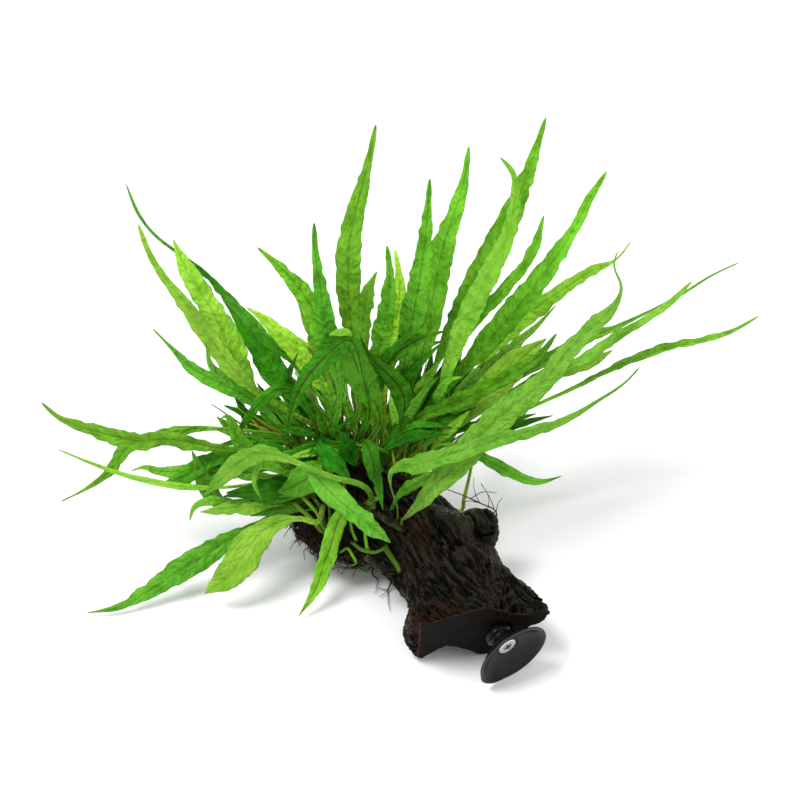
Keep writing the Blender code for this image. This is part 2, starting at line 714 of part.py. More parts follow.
frond(2, 0.76, "green", 8.5, 0.25, 0,
    [(284, 472, 54), (254, 457, 62), (239, 441, 70), (232, 423, 76), (226, 414, 79), (219, 421, 76)])
frond(1, 0.80, "dark", 6.5, 0.35, 30,
    [(316, 424, 70), (300, 400, 84), (284, 387, 90), (262, 401, 86), (246, 420, 78), (232, 443, 66)])
frond(2, 0.30, "light", 9.0, 0.42, 0,
    [(366, 487, 51), (340, 480, 55), (300, 464, 62), (265, 453, 66), (240, 462, 63),
     (224, 477, 57), (204, 496, 48)], peak=0.6)
frond(2, 0.55, "light", 5.0, 0.15, 10,
    [(338, 466, 55), (318, 456, 61), (290, 457, 64), (264, 463, 64), (254, 472, 61),
     (257, 487, 53), (262, 500, 46)])
frond(2, 0.94, "light", 7.0, 0.25, 5,
    [(276, 505, 38), (250, 507, 41), (230, 507, 40), (214, 511, 38), (199, 512, 36)])
frond(2, 0.91, "dark", 8.0, 0.22, 5,
    [(290, 486, 46), (266, 492, 48), (244, 492, 46), (222, 497, 43)])
# Those that reach the ground in front, and the short ones over the root mass
frond(2, 0.99, "green", 10.5, 0.12, 5,
    [(268, 518, 29), (252, 525, 26), (221, 546, 20), (173, 575, 12), (129, 603, 5), (102, 611, 3),
     (86, 613, 2)], tail=0.03)
frond(2, 0.70, "light", 14.0, 0.22, 0,
    [(318, 524, 34), (304, 518, 36), (284, 521, 36), (262, 531, 32), (242, 558, 24),
     (226, 579, 16), (204, 594, 9)], peak=0.6, taper=1.8)
frond(2, 0.50, "green", 7.5, 0.15, 5,
    [(345, 508, 42), (338, 521, 37), (331, 545, 27), (323, 568, 17), (312, 597, 8), (298, 617, 2)])
frond(1, 0.84, "light", 10.0, 0.16, 5,
    [(318, 478, 55), (328, 490, 55), (346, 506, 51), (365, 522, 45), (380, 533, 40), (391, 543, 35)],
    peak=0.4)
frond(1, 0.56, "dark", 10.0, 0.22, 0,
    [(370, 415, 72), (361, 370, 98), (351, 334, 114), (338, 345, 112), (318, 364, 103),
     (301, 386, 92), (291, 410, 80), (287, 428, 70)], peak=0.55)
frond(1, 0.51, "green", 12.5, 0.10, 0,
    [(381, 420, 68), (368, 394, 84), (357, 367, 98), (347, 343, 111), (339, 332, 115),
     (330, 336, 112)], peak=0.6)
frond(1, 0.41, "dark", 9.5, 0.12, 0,
    [(400, 430, 64), (405, 402, 78), (397, 383, 88), (381, 368, 96), (367, 353, 103),
     (360, 336, 108)])
frond(1, 0.60, "dark", 8.5, 0.12, 0,
    [(366, 440, 62), (370, 454, 60), (376, 475, 53), (380, 494, 47), (383, 511, 43)])
# Those behind, which bow to the far side
frond(3, 0.92, "dark", 9.0, 0.25, 10,
    [(294, 430, 54), (268, 404, 50), (246, 386, 34)])
frond(3, 0.76, "green", 9.0, 0.25, -10,
    [(318, 408, 58), (306, 375, 52), (294, 354, 32)])
frond(3, 0.56, "dark", 9.0, 0.25, 5,
    [(346, 404, 60), (344, 368, 56), (341, 344, 36)])
frond(3, 0.34, "green", 9.0, 0.25, -5,
    [(392, 404, 60), (408, 370, 54), (420, 346, 32)])
frond(3, 0.15, "dark", 9.0, 0.25, 10,
    [(424, 412, 56), (456, 386, 52), (488, 368, 36)])


def half_width(share, width, petiole, tail, peak, taper):
    """Half the blade's width by the share of the frond's length from its foot."""
    blade = np.clip((share - petiole) / (1 - petiole - tail), 0, 1)
    rise = np.sin(math.pi / 2 * np.clip(blade / peak, 0, 1)) ** 1.2
    fall = 1 - np.clip((blade - peak) / (1 - peak), 0, 1) ** taper
    thread = PETIOLE_WIDTH / 2 * np.clip((1 - share) / 0.12, 0.25, 1)
    return np.maximum(rise * fall * width / 2, thread)


def untwisted(across, start):
    """The rings' ways across, none turned over against the ring beside it nearer to the start."""
    for index in range(start + 1, len(across)):
        across[index] *= math.copysign(1, across[index] @ across[index - 1])
    for index in range(start - 1, -1, -1):
        across[index] *= math.copysign(1, across[index] @ across[index + 1])
    return across


class Frond:
    """The rings of one frond: middles, the way across, the way up from the blade, half-widths."""

    def __init__(self, name, row, rhizomes):
        rhizome_number, place, self.tone, width, petiole, turn, pixels, tail, peak, taper = row
        self.name = name
        runner = rhizomes[f"rhizome_{rhizome_number}"]
        measured = lengths_of(runner)
        foot_middle = resample(runner, np.array([place * measured[-1]]))[0]
        ahead = resample(runner, np.array([min(place * measured[-1] + 1, measured[-1])]))[0]
        behind = resample(runner, np.array([max(place * measured[-1] - 1, 0)]))[0]
        run = unit(ahead - behind)
        spots = [sight(*pixel) for pixel in pixels]
        reach = spots[0] - foot_middle
        out = unit(reach - (reach @ run) * run + np.array([0, 0, 4.0]))
        out = unit(out - (out @ run) * run)
        self.foot = foot_middle + out * (RHIZOME_RADIUS * 1.12 + GAP + 0.15)
        smooth = along([self.foot, self.foot + out * 3, *spots], 10)
        measured = lengths_of(smooth)
        self.length = measured[-1]
        tangents = unit(np.gradient(smooth, axis=0))
        bend = np.linalg.norm(np.gradient(tangents, axis=0), axis=1)
        load = np.concatenate([[0], np.cumsum(np.diff(measured) / RING_SPACING + bend[1:] * 1.2)])
        count = int(np.clip(round(load[-1] * 0.72), 7, 14))
        at = np.interp(np.linspace(0, load[-1], count + 1), load, measured)
        self.middles = resample(smooth, at)
        self.share = at / self.length
        tangents = unit(np.stack([np.interp(at, measured, tangents[:, k]) for k in range(3)], axis=1))
        self.half = half_width(self.share, width, petiole, tail, peak, taper)
        across = unit(np.cross(tangents, line_of_sight(self.middles)))
        across = untwisted(across, int(np.argmax(self.half)))
        above = np.cross(across, tangents)
        angle = math.radians(turn)
        self.across = across * math.cos(angle) + above * math.sin(angle)
        self.above = np.cross(self.across, tangents)
        self.slide = np.zeros(count + 1)

    def corners(self):
        """Left edge, top of the midrib, right edge and underside of each ring."""
        rays = line_of_sight(self.middles)
        middles = self.middles + self.slide[:, None] * rays
        index = np.arange(len(self.share))
        blade = smooth_step(self.half, PETIOLE_WIDTH * 0.6, 3.0)
        lift = 0.14 * self.half * blade
        wave = 0.55 * blade
        left_lift = (lift + wave * np.sin(2.4 * index))[:, None]
        right_lift = (lift + wave * np.cos(2.1 * index + 1))[:, None]
        left = middles - self.across * self.half[:, None] + self.above * left_lift
        right = middles + self.across * self.half[:, None] + self.above * right_lift
        thick = BLADE_THICKNESS / 2 * (1 - 0.45 * self.share)
        top = middles + self.above * thick[:, None]
        bottom = middles - self.above * thick[:, None]
        return np.stack([left, top, right, bottom], axis=1)

    def samples(self):
        """Points spread over the blade, with the ring share that each hangs on."""
        corners = self.corners()
        left, middle, right = corners[:, 0], corners[:, 1:4:2].mean(axis=1), corners[:, 2]
        ways = []
        for share in (0.0, 0.5, 1.0):
            ways.append(left + (middle - left) * share)
        for share in (0.5, 1.0):
            ways.append(middle + (right - middle) * share)
        lines = np.stack(ways, axis=1)
        spread, hold = [], []
        for ring in range(len(lines) - 1):
            steps = max(2, int(np.linalg.norm(self.middles[ring + 1] - self.middles[ring]) / 0.9))
            for t in np.linspace(0, 1, steps, endpoint=False):
                spread.append(lines[ring] * (1 - t) + lines[ring + 1] * t)
                hold.append(np.full(5, ring + t))
        return np.concatenate(spread), np.concatenate(hold)


CELL = 2.0


class Footprint:
    """Which cells of the view something covers, and how near and far it is in each."""

    def __init__(self, points, hold=None, offset=0.0):
        across, up, self.toward = view_of(points)
        column = np.floor((across + offset) / CELL).astype(int)
        row = np.floor((up + offset) / CELL).astype(int)
        cells = column * 10000 + row
        self.cells, inverse = np.unique(cells, return_inverse=True)
        self.order = np.argsort(inverse, kind="stable")
        self.starts = np.searchsorted(inverse[self.order], np.arange(len(self.cells)))
        self.hold = hold
        if hold is not None:
            totals = np.add.reduceat(hold[self.order], self.starts)
            counts = np.diff(np.append(self.starts, len(hold)))
            self.cell_hold = totals / counts

    def range(self, slide=None):
        toward = self.toward
        if slide is not None:
            toward = toward + np.interp(self.hold, np.arange(len(slide)), slide)
        toward = toward[self.order]
        return np.minimum.reduceat(toward, self.starts), np.maximum.reduceat(toward, self.starts)


def seen_range(tree, footprint_points):
    """Points on the near and far side of a solid, on the lines of sight through the given points."""
    found = []
    for spot in footprint_points:
        ray = unit(spot - EYE)
        hit = tree.ray_cast(Vector(EYE), Vector(ray))
        if hit[0] is None:
            continue
        far = EYE + ray * 2 * VIEW_DISTANCE
        back = tree.ray_cast(Vector(far), Vector(-ray))
        found.append(np.array(hit[0]))
        found.append(np.array(back[0]))
    return np.array(found)


def solid_points(tree, low, high):
    """Near and far surface points of a solid over a fine net of lines of sight."""
    net = []
    for across in np.arange(low[0], high[0], CELL / 2):
        for up in np.arange(low[1], high[1], CELL / 2):
            net.append(MIDDLE + across * RIGHT + up * UP)
    return seen_range(tree, net)


def separate(fronds, solids):
    """Slides the fronds along the lines of sight until each pair is clear wherever they cross."""
    prints = []
    for frond in fronds:
        points, hold = frond.samples()
        prints.append([Footprint(points, hold, offset) for offset in (0.0, CELL / 2)])
    walls = [[Footprint(points, None, offset) for offset in (0.0, CELL / 2)] for points in solids]
    held = []
    for frond in fronds:
        distance = frond.share * frond.length
        held.append(smooth_step(distance, 1.0, 14.0))
    pairs = []
    for i in range(len(fronds)):
        for j in list(range(i + 1, len(fronds))) + [-1 - k for k in range(len(walls))]:
            other = prints[j] if j >= 0 else walls[-1 - j]
            shared = []
            gap = 0.0
            for mine, theirs in zip(prints[i], other):
                _, a, b = np.intersect1d(mine.cells, theirs.cells, return_indices=True)
                free = np.interp(mine.cell_hold[a], np.arange(len(held[i])), held[i])
                if j >= 0:
                    free = np.maximum(free, np.interp(theirs.cell_hold[b], np.arange(len(held[j])), held[j]))
                keep = free > (0.5 if j >= 0 else 0.6)
                a, b = a[keep], b[keep]
                low, high = mine.range()
                low_b, high_b = theirs.range()
                gap += (low[a] + high[a] - low_b[b] - high_b[b]).sum()
                shared.append((a, b))
            if sum(len(a) for a, _ in shared):
                pairs.append((i, j, shared, 1.0 if gap >= 0 else -1.0))
    for _ in range(120):
        worst = 0.0
        for i, j, shared, order in pairs:
            for side, (a, b) in enumerate(shared):
                if not len(a):
                    continue
                mine = prints[i][side]
                low, high = mine.range(fronds[i].slide)
                if j >= 0:
                    theirs = prints[j][side]
                    low_b, high_b = theirs.range(fronds[j].slide)
                else:
                    theirs = walls[-1 - j][side]
                    low_b, high_b = theirs.range()
                room = low[a] - high_b[b] if order > 0 else low_b[b] - high[a]
                least = int(np.argmin(room))
                lack = CLEARANCE - room[least]
                if lack <= 0:
                    continue
                worst = max(worst, lack)
                push_i = order * lack * (0.55 if j >= 0 else 1.05)
                nudge(fronds[i], held[i], mine.cell_hold[a[least]], push_i)
                if j >= 0:
                    nudge(fronds[j], held[j], theirs.cell_hold[b[least]], -push_i)
        for frond in fronds:
            evened = 0.5 * (frond.slide[:-2] + frond.slide[2:])
            frond.slide[1:-1] += SLIDE_EVENING * (evened - frond.slide[1:-1])
            lowest(frond)
        if worst < 0.05:
            break
    return worst


def nudge(frond, held, where, push):
    """Slides one frond by a push at one ring, fading along its length."""
    share = np.interp(where, np.arange(len(frond.share)), frond.share)
    fade = np.exp(-(((frond.share - share) / 0.2) ** 2)) * held
    hold = max(np.interp(where, np.arange(len(held)), held), 0.3)
    frond.slide += np.clip(push / hold, -3.0, 3.0) * fade
    frond.slide = np.clip(frond.slide, -MOST_SLIDE, MOST_SLIDE)


def lowest(frond):
    """Keeps a frond off the ground."""
    corners = frond.corners()
    lack = GROUND_CLEARANCE - corners[:, :, 2].min(axis=1)
    frond.slide += np.maximum(lack, 0) / math.sin(VIEW_TILT)


def frond_mesh(frond, collection, finish):
    corners = frond.corners()
    rings = len(corners)
    points = np.vstack([corners[:-1].reshape(-1, 3), corners[-1].mean(axis=0)])
    tip = len(points) - 1
    faces = [(0, 1, 2, 3)]
    for ring in range(rings - 2):
        for side in range(4):
            near = (ring * 4 + side, ring * 4 + (side + 1) % 4)
            far = (near[0] + 4, near[1] + 4)
            # Each half is folded along the same diagonal above and below, so it keeps its thickness.
            if side % 2 == 0:
                faces += [(near[0], near[1], far[1]), (near[0], far[1], far[0])]
            else:
                faces += [(near[0], near[1], far[0]), (near[1], far[1], far[0])]
    last = (rings - 2) * 4
    for side in range(4):
        faces.append((last + side, last + (side + 1) % 4, tip))
    return add_mesh(frond.name, points, faces, collection, finish)


def main():
    for old in list(bpy.data.objects):
        bpy.data.objects.remove(old)
    scene = bpy.context.scene
    parts = bpy.data.collections.new("java_fern_on_driftwood")
    helpers = bpy.data.collections.new("helpers")
    scene.collection.children.link(parts)
    scene.collection.children.link(helpers)

    wood = log_mesh("driftwood", parts, material("driftwood", (0.030, 0.024, 0.018), 0.55))
    combine(wood, knot(helpers), "UNION")
    combine(wood, screw_seat(helpers))
    suction_cup(parts, material("rubber", (0.045, 0.047, 0.048), 0.45))
    screw(parts, helpers, material("steel", (0.62, 0.61, 0.58), 0.28, 1.0))
    mat = root_mat(parts, helpers, material("roots", (0.035, 0.022, 0.012), 0.9))

    trees = [evaluated_tree(wood), evaluated_tree(mat)]
    paths = rhizome_paths(trees)
    green = material("rhizome", (0.10, 0.20, 0.03), 0.6)
    runners = [rhizome(name, path, parts, green) for name, path in paths.items()]

    fronds = [Frond(f"frond_{index + 1:02d}", row, paths) for index, row in enumerate(FRONDS)]
    solids = [solid_points(tree, (-80, -120), (80, 40)) for tree in trees]
    solids += [solid_points(evaluated_tree(runner), (-80, -120), (80, 40)) for runner in runners]
    separate(fronds, solids)
    for frond in fronds:
        frond_mesh(frond, parts, material(frond.name, TONES[frond.tone], 0.4))


main()
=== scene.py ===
"""The looks of a java fern on a short driftwood log, with a suction cup screwed to the sawn end.

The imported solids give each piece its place. Every frond is rebuilt from the rings of its own solid
as a thin ruffled blade, the log and the root mass are carved finer, and small fronds, stalks and
rootlets are added between them. Lengths are in millimetres until a mesh is made.
"""

import json
from math import copysign, cos, pi, radians, sin

import bmesh
import bpy
import numpy as np
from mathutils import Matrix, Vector
from mathutils.bvhtree import BVHTree

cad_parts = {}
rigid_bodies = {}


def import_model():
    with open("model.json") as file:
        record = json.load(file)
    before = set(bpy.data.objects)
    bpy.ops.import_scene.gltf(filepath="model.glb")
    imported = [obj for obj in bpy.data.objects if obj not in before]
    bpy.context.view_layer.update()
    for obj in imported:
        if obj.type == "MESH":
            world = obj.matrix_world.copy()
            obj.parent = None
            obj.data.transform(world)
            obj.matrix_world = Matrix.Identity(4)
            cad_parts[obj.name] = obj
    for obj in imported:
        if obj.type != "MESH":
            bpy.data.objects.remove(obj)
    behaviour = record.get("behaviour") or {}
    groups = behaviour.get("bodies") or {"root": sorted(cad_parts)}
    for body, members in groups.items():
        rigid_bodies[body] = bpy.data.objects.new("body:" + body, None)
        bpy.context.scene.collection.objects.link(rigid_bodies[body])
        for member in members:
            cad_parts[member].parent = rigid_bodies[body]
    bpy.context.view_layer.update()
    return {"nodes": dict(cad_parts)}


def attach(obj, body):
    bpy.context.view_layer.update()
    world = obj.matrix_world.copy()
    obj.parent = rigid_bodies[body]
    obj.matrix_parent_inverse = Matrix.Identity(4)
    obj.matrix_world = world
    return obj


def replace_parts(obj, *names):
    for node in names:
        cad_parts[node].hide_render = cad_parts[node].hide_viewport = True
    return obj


for old in list(bpy.data.objects):
    bpy.data.objects.remove(old)

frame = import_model()

MM = 0.001

# The view: its scale where it crosses the crown, its distance, its tilt and its middle
VIEW_SCALE = 2.47  # pixels per mm
VIEW_DISTANCE = 1000
VIEW_TILT = radians(40)
VIEW_MIDDLE = 400  # pixel, across and down
VIEW_TARGET = np.array([-0.6, 8.5, 69.7])  # the point in the middle of the view
SENSOR = 36
IMAGE_SIDE = 800
RIGHT = np.array([1, 0, 0])
UP = np.array([0, sin(VIEW_TILT), cos(VIEW_TILT)])
TOWARD = np.array([0, -cos(VIEW_TILT), sin(VIEW_TILT)])
EYE = VIEW_TARGET + VIEW_DISTANCE * TOWARD

# The blades
STEP = 1.05  # between the rows of a blade
ROW_EVENING = 8
COLUMNS = np.array([0, 0.07, 0.16, 0.3, 0.46, 0.62, 0.78, 0.91, 1])
FEW_COLUMNS = np.array([0, 0.13, 0.34, 0.58, 0.82, 1])
NARROW = 3.2  # half-width up to which a blade has few columns
PETIOLE_HALF = 0.7
BLUNT_TIP = (1.15, 6)  # half-width near the tip, and how long before it the rounding starts
THREAD_TIP = (0.4, 3)
THREAD_HALF = 0.9  # half-width near the tip under which it ends in a thread
VEIN_SPACING = 4.3
VEIN_SLANT = 0.75
BLADE_HALF_THICKNESS = 0.2
MIDRIB_SINK = 0.16
RIB_DEPTH = 0.55  # under the blade, as a share of the solid's thickness
UPRIGHT = [0, 0, 1]


# --- points and lines

def norm(vectors):
    return np.linalg.norm(vectors, axis=-1)


def unit(vectors):
    return vectors / np.maximum(norm(vectors), 1e-9)[..., None]


def eased(value, low, high):
    share = np.clip((value - low) / (high - low), 0, 1)
    return share * share * (3 - 2 * share)


def grid(*parts):
    """Arrays that fit one another, as the coordinates of points."""
    return np.stack(np.broadcast_arrays(*parts), axis=-1)


def sight(across, down, depth):
    """The point on the line of sight through a pixel that lies this far back."""
    start = (
        VIEW_TARGET
        + (across - VIEW_MIDDLE) / VIEW_SCALE * RIGHT
        + (VIEW_MIDDLE - down) / VIEW_SCALE * UP
    )
    return start + (depth - start[1]) / (EYE[1] - start[1]) * (EYE - start)


def by_pixels(pixels, near, far):
    """Points through pixels, their depths spread evenly from the first to the last."""
    pixels = np.reshape(pixels, (-1, 2))
    return [sight(*pixel, back) for pixel, back in zip(pixels, np.linspace(near, far, len(pixels)))]


def table(text):
    """Rows of numbers, one to a line."""
    return [[float(number) for number in line.split()] for line in text.strip().splitlines()]


def ray_through(across, down):
    """The way from the eye to a pixel."""
    return unit(sight(across, down, 0) - EYE)


def lengths_of(path):
    return np.concatenate([[0], np.cumsum(norm(np.diff(path, axis=0)))])


def curve_through(values, at, spots):
    """Rows of values known at some lengths, read from a smooth curve at other lengths."""
    slopes = np.gradient(values, at, axis=0)
    index = np.clip(np.searchsorted(at, spots, side="right") - 1, 0, len(at) - 2)
    span = (at[index + 1] - at[index])[:, None]
    t = (spots - at[index])[:, None] / span
    a, b = values[index], values[index + 1]
    p, q = slopes[index] * span, slopes[index + 1] * span
    return (
        (2 * t**3 - 3 * t**2 + 1) * a
        + (t**3 - 2 * t**2 + t) * p
        + (3 * t**2 - 2 * t**3) * b
        + (t**3 - t**2) * q
    )


def noise(points, seed=0):
    """Smooth noise from -1 to 1, with about one bump per unit, at points of any dimension."""
    points = np.asarray(points, float)
    cell = np.floor(points).astype(np.int64)
    part = points - cell
    part = part * part * (3 - 2 * part)
    primes = np.array([73856093, 19349663, 83492791])[: points.shape[-1]]
    total = 0
    for corner in np.ndindex(*(2,) * points.shape[-1]):
        weight = np.prod(np.where(corner, part, 1 - part), axis=-1)
        mixed = ((cell + corner) * primes).sum(axis=-1) + seed * 668265263
        mixed = (mixed ^ (mixed >> 13)) * 1274126177 & 0x7FFFFFFF
        mixed = (mixed ^ (mixed >> 15)) * 668265263 & 0x7FFFFFFF
        total = total + weight * ((mixed >> 7) % 2001 / 1000 - 1)
    return total


# --- meshes

def vectors_of(items, key):
    found = np.zeros(len(items) * 3)
    items.foreach_get(key, found)
    return found.reshape(-1, 3)


def welded(name):
    """A solid's corners in mm, with those of touching faces merged, and its faces."""
    mesh = frame["nodes"][name].data
    spots = vectors_of(mesh.vertices, "co") / MM
    _, first, merged = np.unique(np.round(spots, 3), axis=0, return_index=True, return_inverse=True)
    merged = merged.reshape(-1).tolist()
    return spots[first], [tuple(merged[v] for v in face.vertices) for face in mesh.polygons]


def tree_of(names):
    """One search tree of several solids."""
    points, faces = [], []
    for name in names:
        more, sides = welded(name)
        faces += [[v + len(points) for v in side] for side in sides]
        points += [Vector(p) for p in more]
    return BVHTree.FromPolygons(points, faces)


def nearest(tree, spot):
    return np.array(tree.find_nearest(Vector(spot))[0])


def seen(tree, across, down):
    """Where the line of sight through a pixel first meets a solid, if it does."""
    hit = tree.ray_cast(Vector(EYE), Vector(ray_through(across, down)))[0]
    return None if hit is None else np.array(hit)


def placed(name, data):
    """A new object in the scene."""
    made = bpy.data.objects.new(name, data)
    bpy.context.scene.collection.objects.link(made)
    return made


def make(name, points, faces, marks, material, slot):
    """A smooth shaded mesh from points in mm, with its attributes by name and its material."""
    mesh = bpy.data.meshes.new(name)
    mesh.from_pydata((np.asarray(points) * MM).tolist(), [], faces)
    mesh.validate()
    for key, values in marks.items():
        attribute = mesh.attributes.new(key, "FLOAT_VECTOR", "POINT")
        attribute.data.foreach_set("vector", np.asarray(values, np.float32).ravel())
    mesh.shade_smooth()
    mesh.materials.append(material)
    piece = placed(name, mesh)
    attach(piece, "root")
    return piece


def make_joined(name, parts, material, slot):
    """One mesh of several parts, each with its points, faces and attributes."""
    points, faces = [], []
    for more, sides, _ in parts:
        faces += [tuple(v + len(points) for v in side) for side in sides]
        points.extend(more)
    marks = {key: np.concatenate([mark[key] for *_, mark in parts]) for key in parts[0][2]}
    make(name, points, faces, marks, material, slot)


def modified(mesh, modifiers):
    """A mesh as its modifiers leave it: points in mm, normals and faces."""
    helper = placed("helper", mesh)
    for kind, settings in modifiers.items():
        modifier = helper.modifiers.new(kind, kind)
        for key, value in settings.items():
            setattr(modifier, key, value)
    graph = bpy.context.evaluated_depsgraph_get()
    fine = bpy.data.meshes.new_from_object(helper.evaluated_get(graph))
    points, normals = vectors_of(fine.vertices, "co") / MM, vectors_of(fine.vertex_normals, "vector")
    faces = [tuple(face.vertices) for face in fine.polygons]
    bpy.data.objects.remove(helper)
    bpy.data.meshes.remove(fine)
    return points, normals, faces


def refined(points, faces, voxel, rounds):
    """A solid remade as one even fine mesh and smoothed: its points in mm, normals and faces."""
    mesh = bpy.data.meshes.new("coarse")
    mesh.from_pydata((points * MM).tolist(), [], faces)
    return modified(mesh, {
        "REMESH": {"mode": "VOXEL", "voxel_size": voxel * MM},
        "SMOOTH": {"factor": 0.5, "iterations": rounds},
    })


def quads(rows, ring):
    """The faces between the neighbouring rings of a tube."""
    start = np.arange(rows - 1)[:, None] * ring
    here = np.arange(ring)
    beside = (here + 1) % ring
    corners = [start + here, start + here + ring, start + beside + ring, start + beside]
    return np.stack(corners, axis=-1).reshape(-1, 4)


# --- materials

class Shader:
    """A material under construction: most calls add one node and give back its output."""

    def __init__(self, name, base, sheen=0.5, metallic=0):
        self.material = bpy.data.materials.new(name)
        self.material.use_nodes = True
        self.tree = self.material.node_tree
        self.surface = self.tree.nodes["Principled BSDF"]
        self.surface.inputs["Specular IOR Level"].default_value = sheen
        self.surface.inputs["Metallic"].default_value = metallic
        self.colour = base

    def node(self, kind, inputs, output=0, **settings):
        made = self.tree.nodes.new("ShaderNode" + kind)
        for key, value in settings.items():
            setattr(made, key, value)
        for key, value in inputs.items():
            socket = made.inputs[key]
            if isinstance(value, bpy.types.NodeSocket):
                self.tree.links.new(value, socket)
            else:
                socket.default_value = (*value, 1) if socket.type == "RGBA" else value
        return made.outputs[output]

    def spot(self):
        return self.node("TexCoord", {}, "Object")

    def attribute(self, name):
        """A vector attribute, and each of its three parts."""
        vector = self.node("Attribute", {}, "Vector", attribute_name=name)
        return [vector] + [self.node("SeparateXYZ", {0: vector}, part) for part in "XYZ"]

    def math(self, operation, a, b=0):
        return self.node("Math", {0: a, 1: b}, operation=operation)

    def times(self, a, b):
        return self.math("MULTIPLY", a, b)

    def scaled(self, vector, scale, shift=(0, 0, 0)):
        return self.node("Mapping", {"Vector": vector, "Scale": scale, "Location": shift})

    def noise(self, vector, scale, detail, roughness=0.5, shift=(0, 0, 0)):
        """Noise with as many bumps to a unit as the scale says, each way alike or its own."""
        if isinstance(scale, tuple):
            vector, scale = self.scaled(vector, scale, shift), 1
        inputs = {"Vector": vector, "Scale": scale, "Detail": detail, "Roughness": roughness}
        return self.node("TexNoise", inputs, "Fac")

    def cells(self, vector, scale, feature="F1"):
        if isinstance(scale, tuple):
            vector, scale = self.scaled(vector, scale), 1
        return self.node("TexVoronoi", {"Vector": vector, "Scale": scale}, "Distance", feature=feature)

    def band(self, value, low, high, start=0, end=1):
        """Smoothly from start where the value is low to end where it is high."""
        inputs = {"Value": value, 1: low, 2: high, 3: start, 4: end}
        return self.node("MapRange", inputs, interpolation_type="SMOOTHSTEP")

    def paint(self, colour, *shares):
        """Cover the colour so far by a product of shares, where a tuple is a band's inputs."""
        share = None
        for more in shares:
            more = self.band(*more) if isinstance(more, tuple) else more
            share = more if share is None else self.times(share, more)
        inputs = {0: share, 6: self.colour, 7: colour}
        self.colour = self.node("Mix", inputs, 2, data_type="RGBA")

    def finished(self, gloss, *bumps):
        """The material, from its roughness and the height, strength and distance of its bumps."""
        inputs = {"Base Color": self.colour, "Roughness": self.band(*gloss)}
        if bumps:
            inputs["Normal"] = self.node("Bump", dict(zip(("Height", "Strength", "Distance"), bumps)))
        for key, value in inputs.items():
            self.tree.links.new(value, self.surface.inputs[key])
        return self.material


STALK_BROWN = (0.06, 0.042, 0.008)
RIM_BROWN = (0.1, 0.042, 0.017)


def blade_material(tone, sheen, pale, deep, vein, midrib):
    """A fern blade: mottled green with painted sheen where it swells and painted shade in its hollows, with
    a net of veins and a faint midrib.
    """
    blade = Shader("blade_" + tone, deep, sheen)
    spot, across, along, number = blade.attribute("blade")
    _, relief, share, _ = blade.attribute("leaf")
    _, hue, value, ribbed = blade.attribute("shade")
    side = blade.math("ABSOLUTE", across)
    slanted = blade.math("SUBTRACT", along, blade.times(side, VEIN_SLANT))
    net = blade.node("CombineXYZ", {0: across, 1: slanted, 2: number})

    mottle = blade.noise(spot, (0.16, 0.09, 1), 3, 0.6)
    fine = blade.noise(spot, (0.9, 0.6, 1), 4, 0.65)
    # Painted light: over the random mottle, the relief makes the swellings paler as painted sheen and the
    # hollows darker as painted shade.
    level = blade.math("ADD", mottle, blade.times(relief, 0.26))
    blade.paint(pale, (level, 0.22, 0.74, 0.08, 0.98))
    blade.paint(deep, (fine, 0.48, 0.72, 0, 0.2))
    web = blade.cells(net, (1, 0.62, 1), "DISTANCE_TO_EDGE")
    blade.paint(vein, (web, 0.02, 0.14, 0.26, 0))

    speck = blade.cells(spot, (0.33, 0.2, 1))
    where = blade.noise(spot, (0.1, 0.05, 1), 1, shift=(7, 3, 1))
    blade.paint((0.025, 0.05, 0.004), (speck, 0.05, 0.13, 1, 0), (where, 0.55, 0.65), 0.6)

    broken = blade.noise(spot, (0, 0.1, 0.37), 3)
    blade.paint(midrib, (side, 0.1, 0.42, 1, 0), (broken, 0.34, 0.55, 0.3, 1), ribbed)
    blade.paint(STALK_BROWN, (share, 0.02, 0.22, 0.8, 0), (fine, 0.3, 0.6, 0.3, 1))
    # Each frond's hue and brightness. For the fronds in SHADES and those inside the crown, the brightness
    # holds painted light and shade.
    blade.colour = blade.node("HueSaturation", {"Hue": hue, "Value": value, "Color": blade.colour})
    quilt = blade.cells(net, (0.75, 0.5, 1), "SMOOTH_F1")
    height = blade.math("SUBTRACT", blade.times(fine, 0.6), blade.band(quilt, 0.1, 0.7))
    return blade.finished((fine, 0.3, 0.75, 0.18, 0.4), height, 0.7, 0.0007)


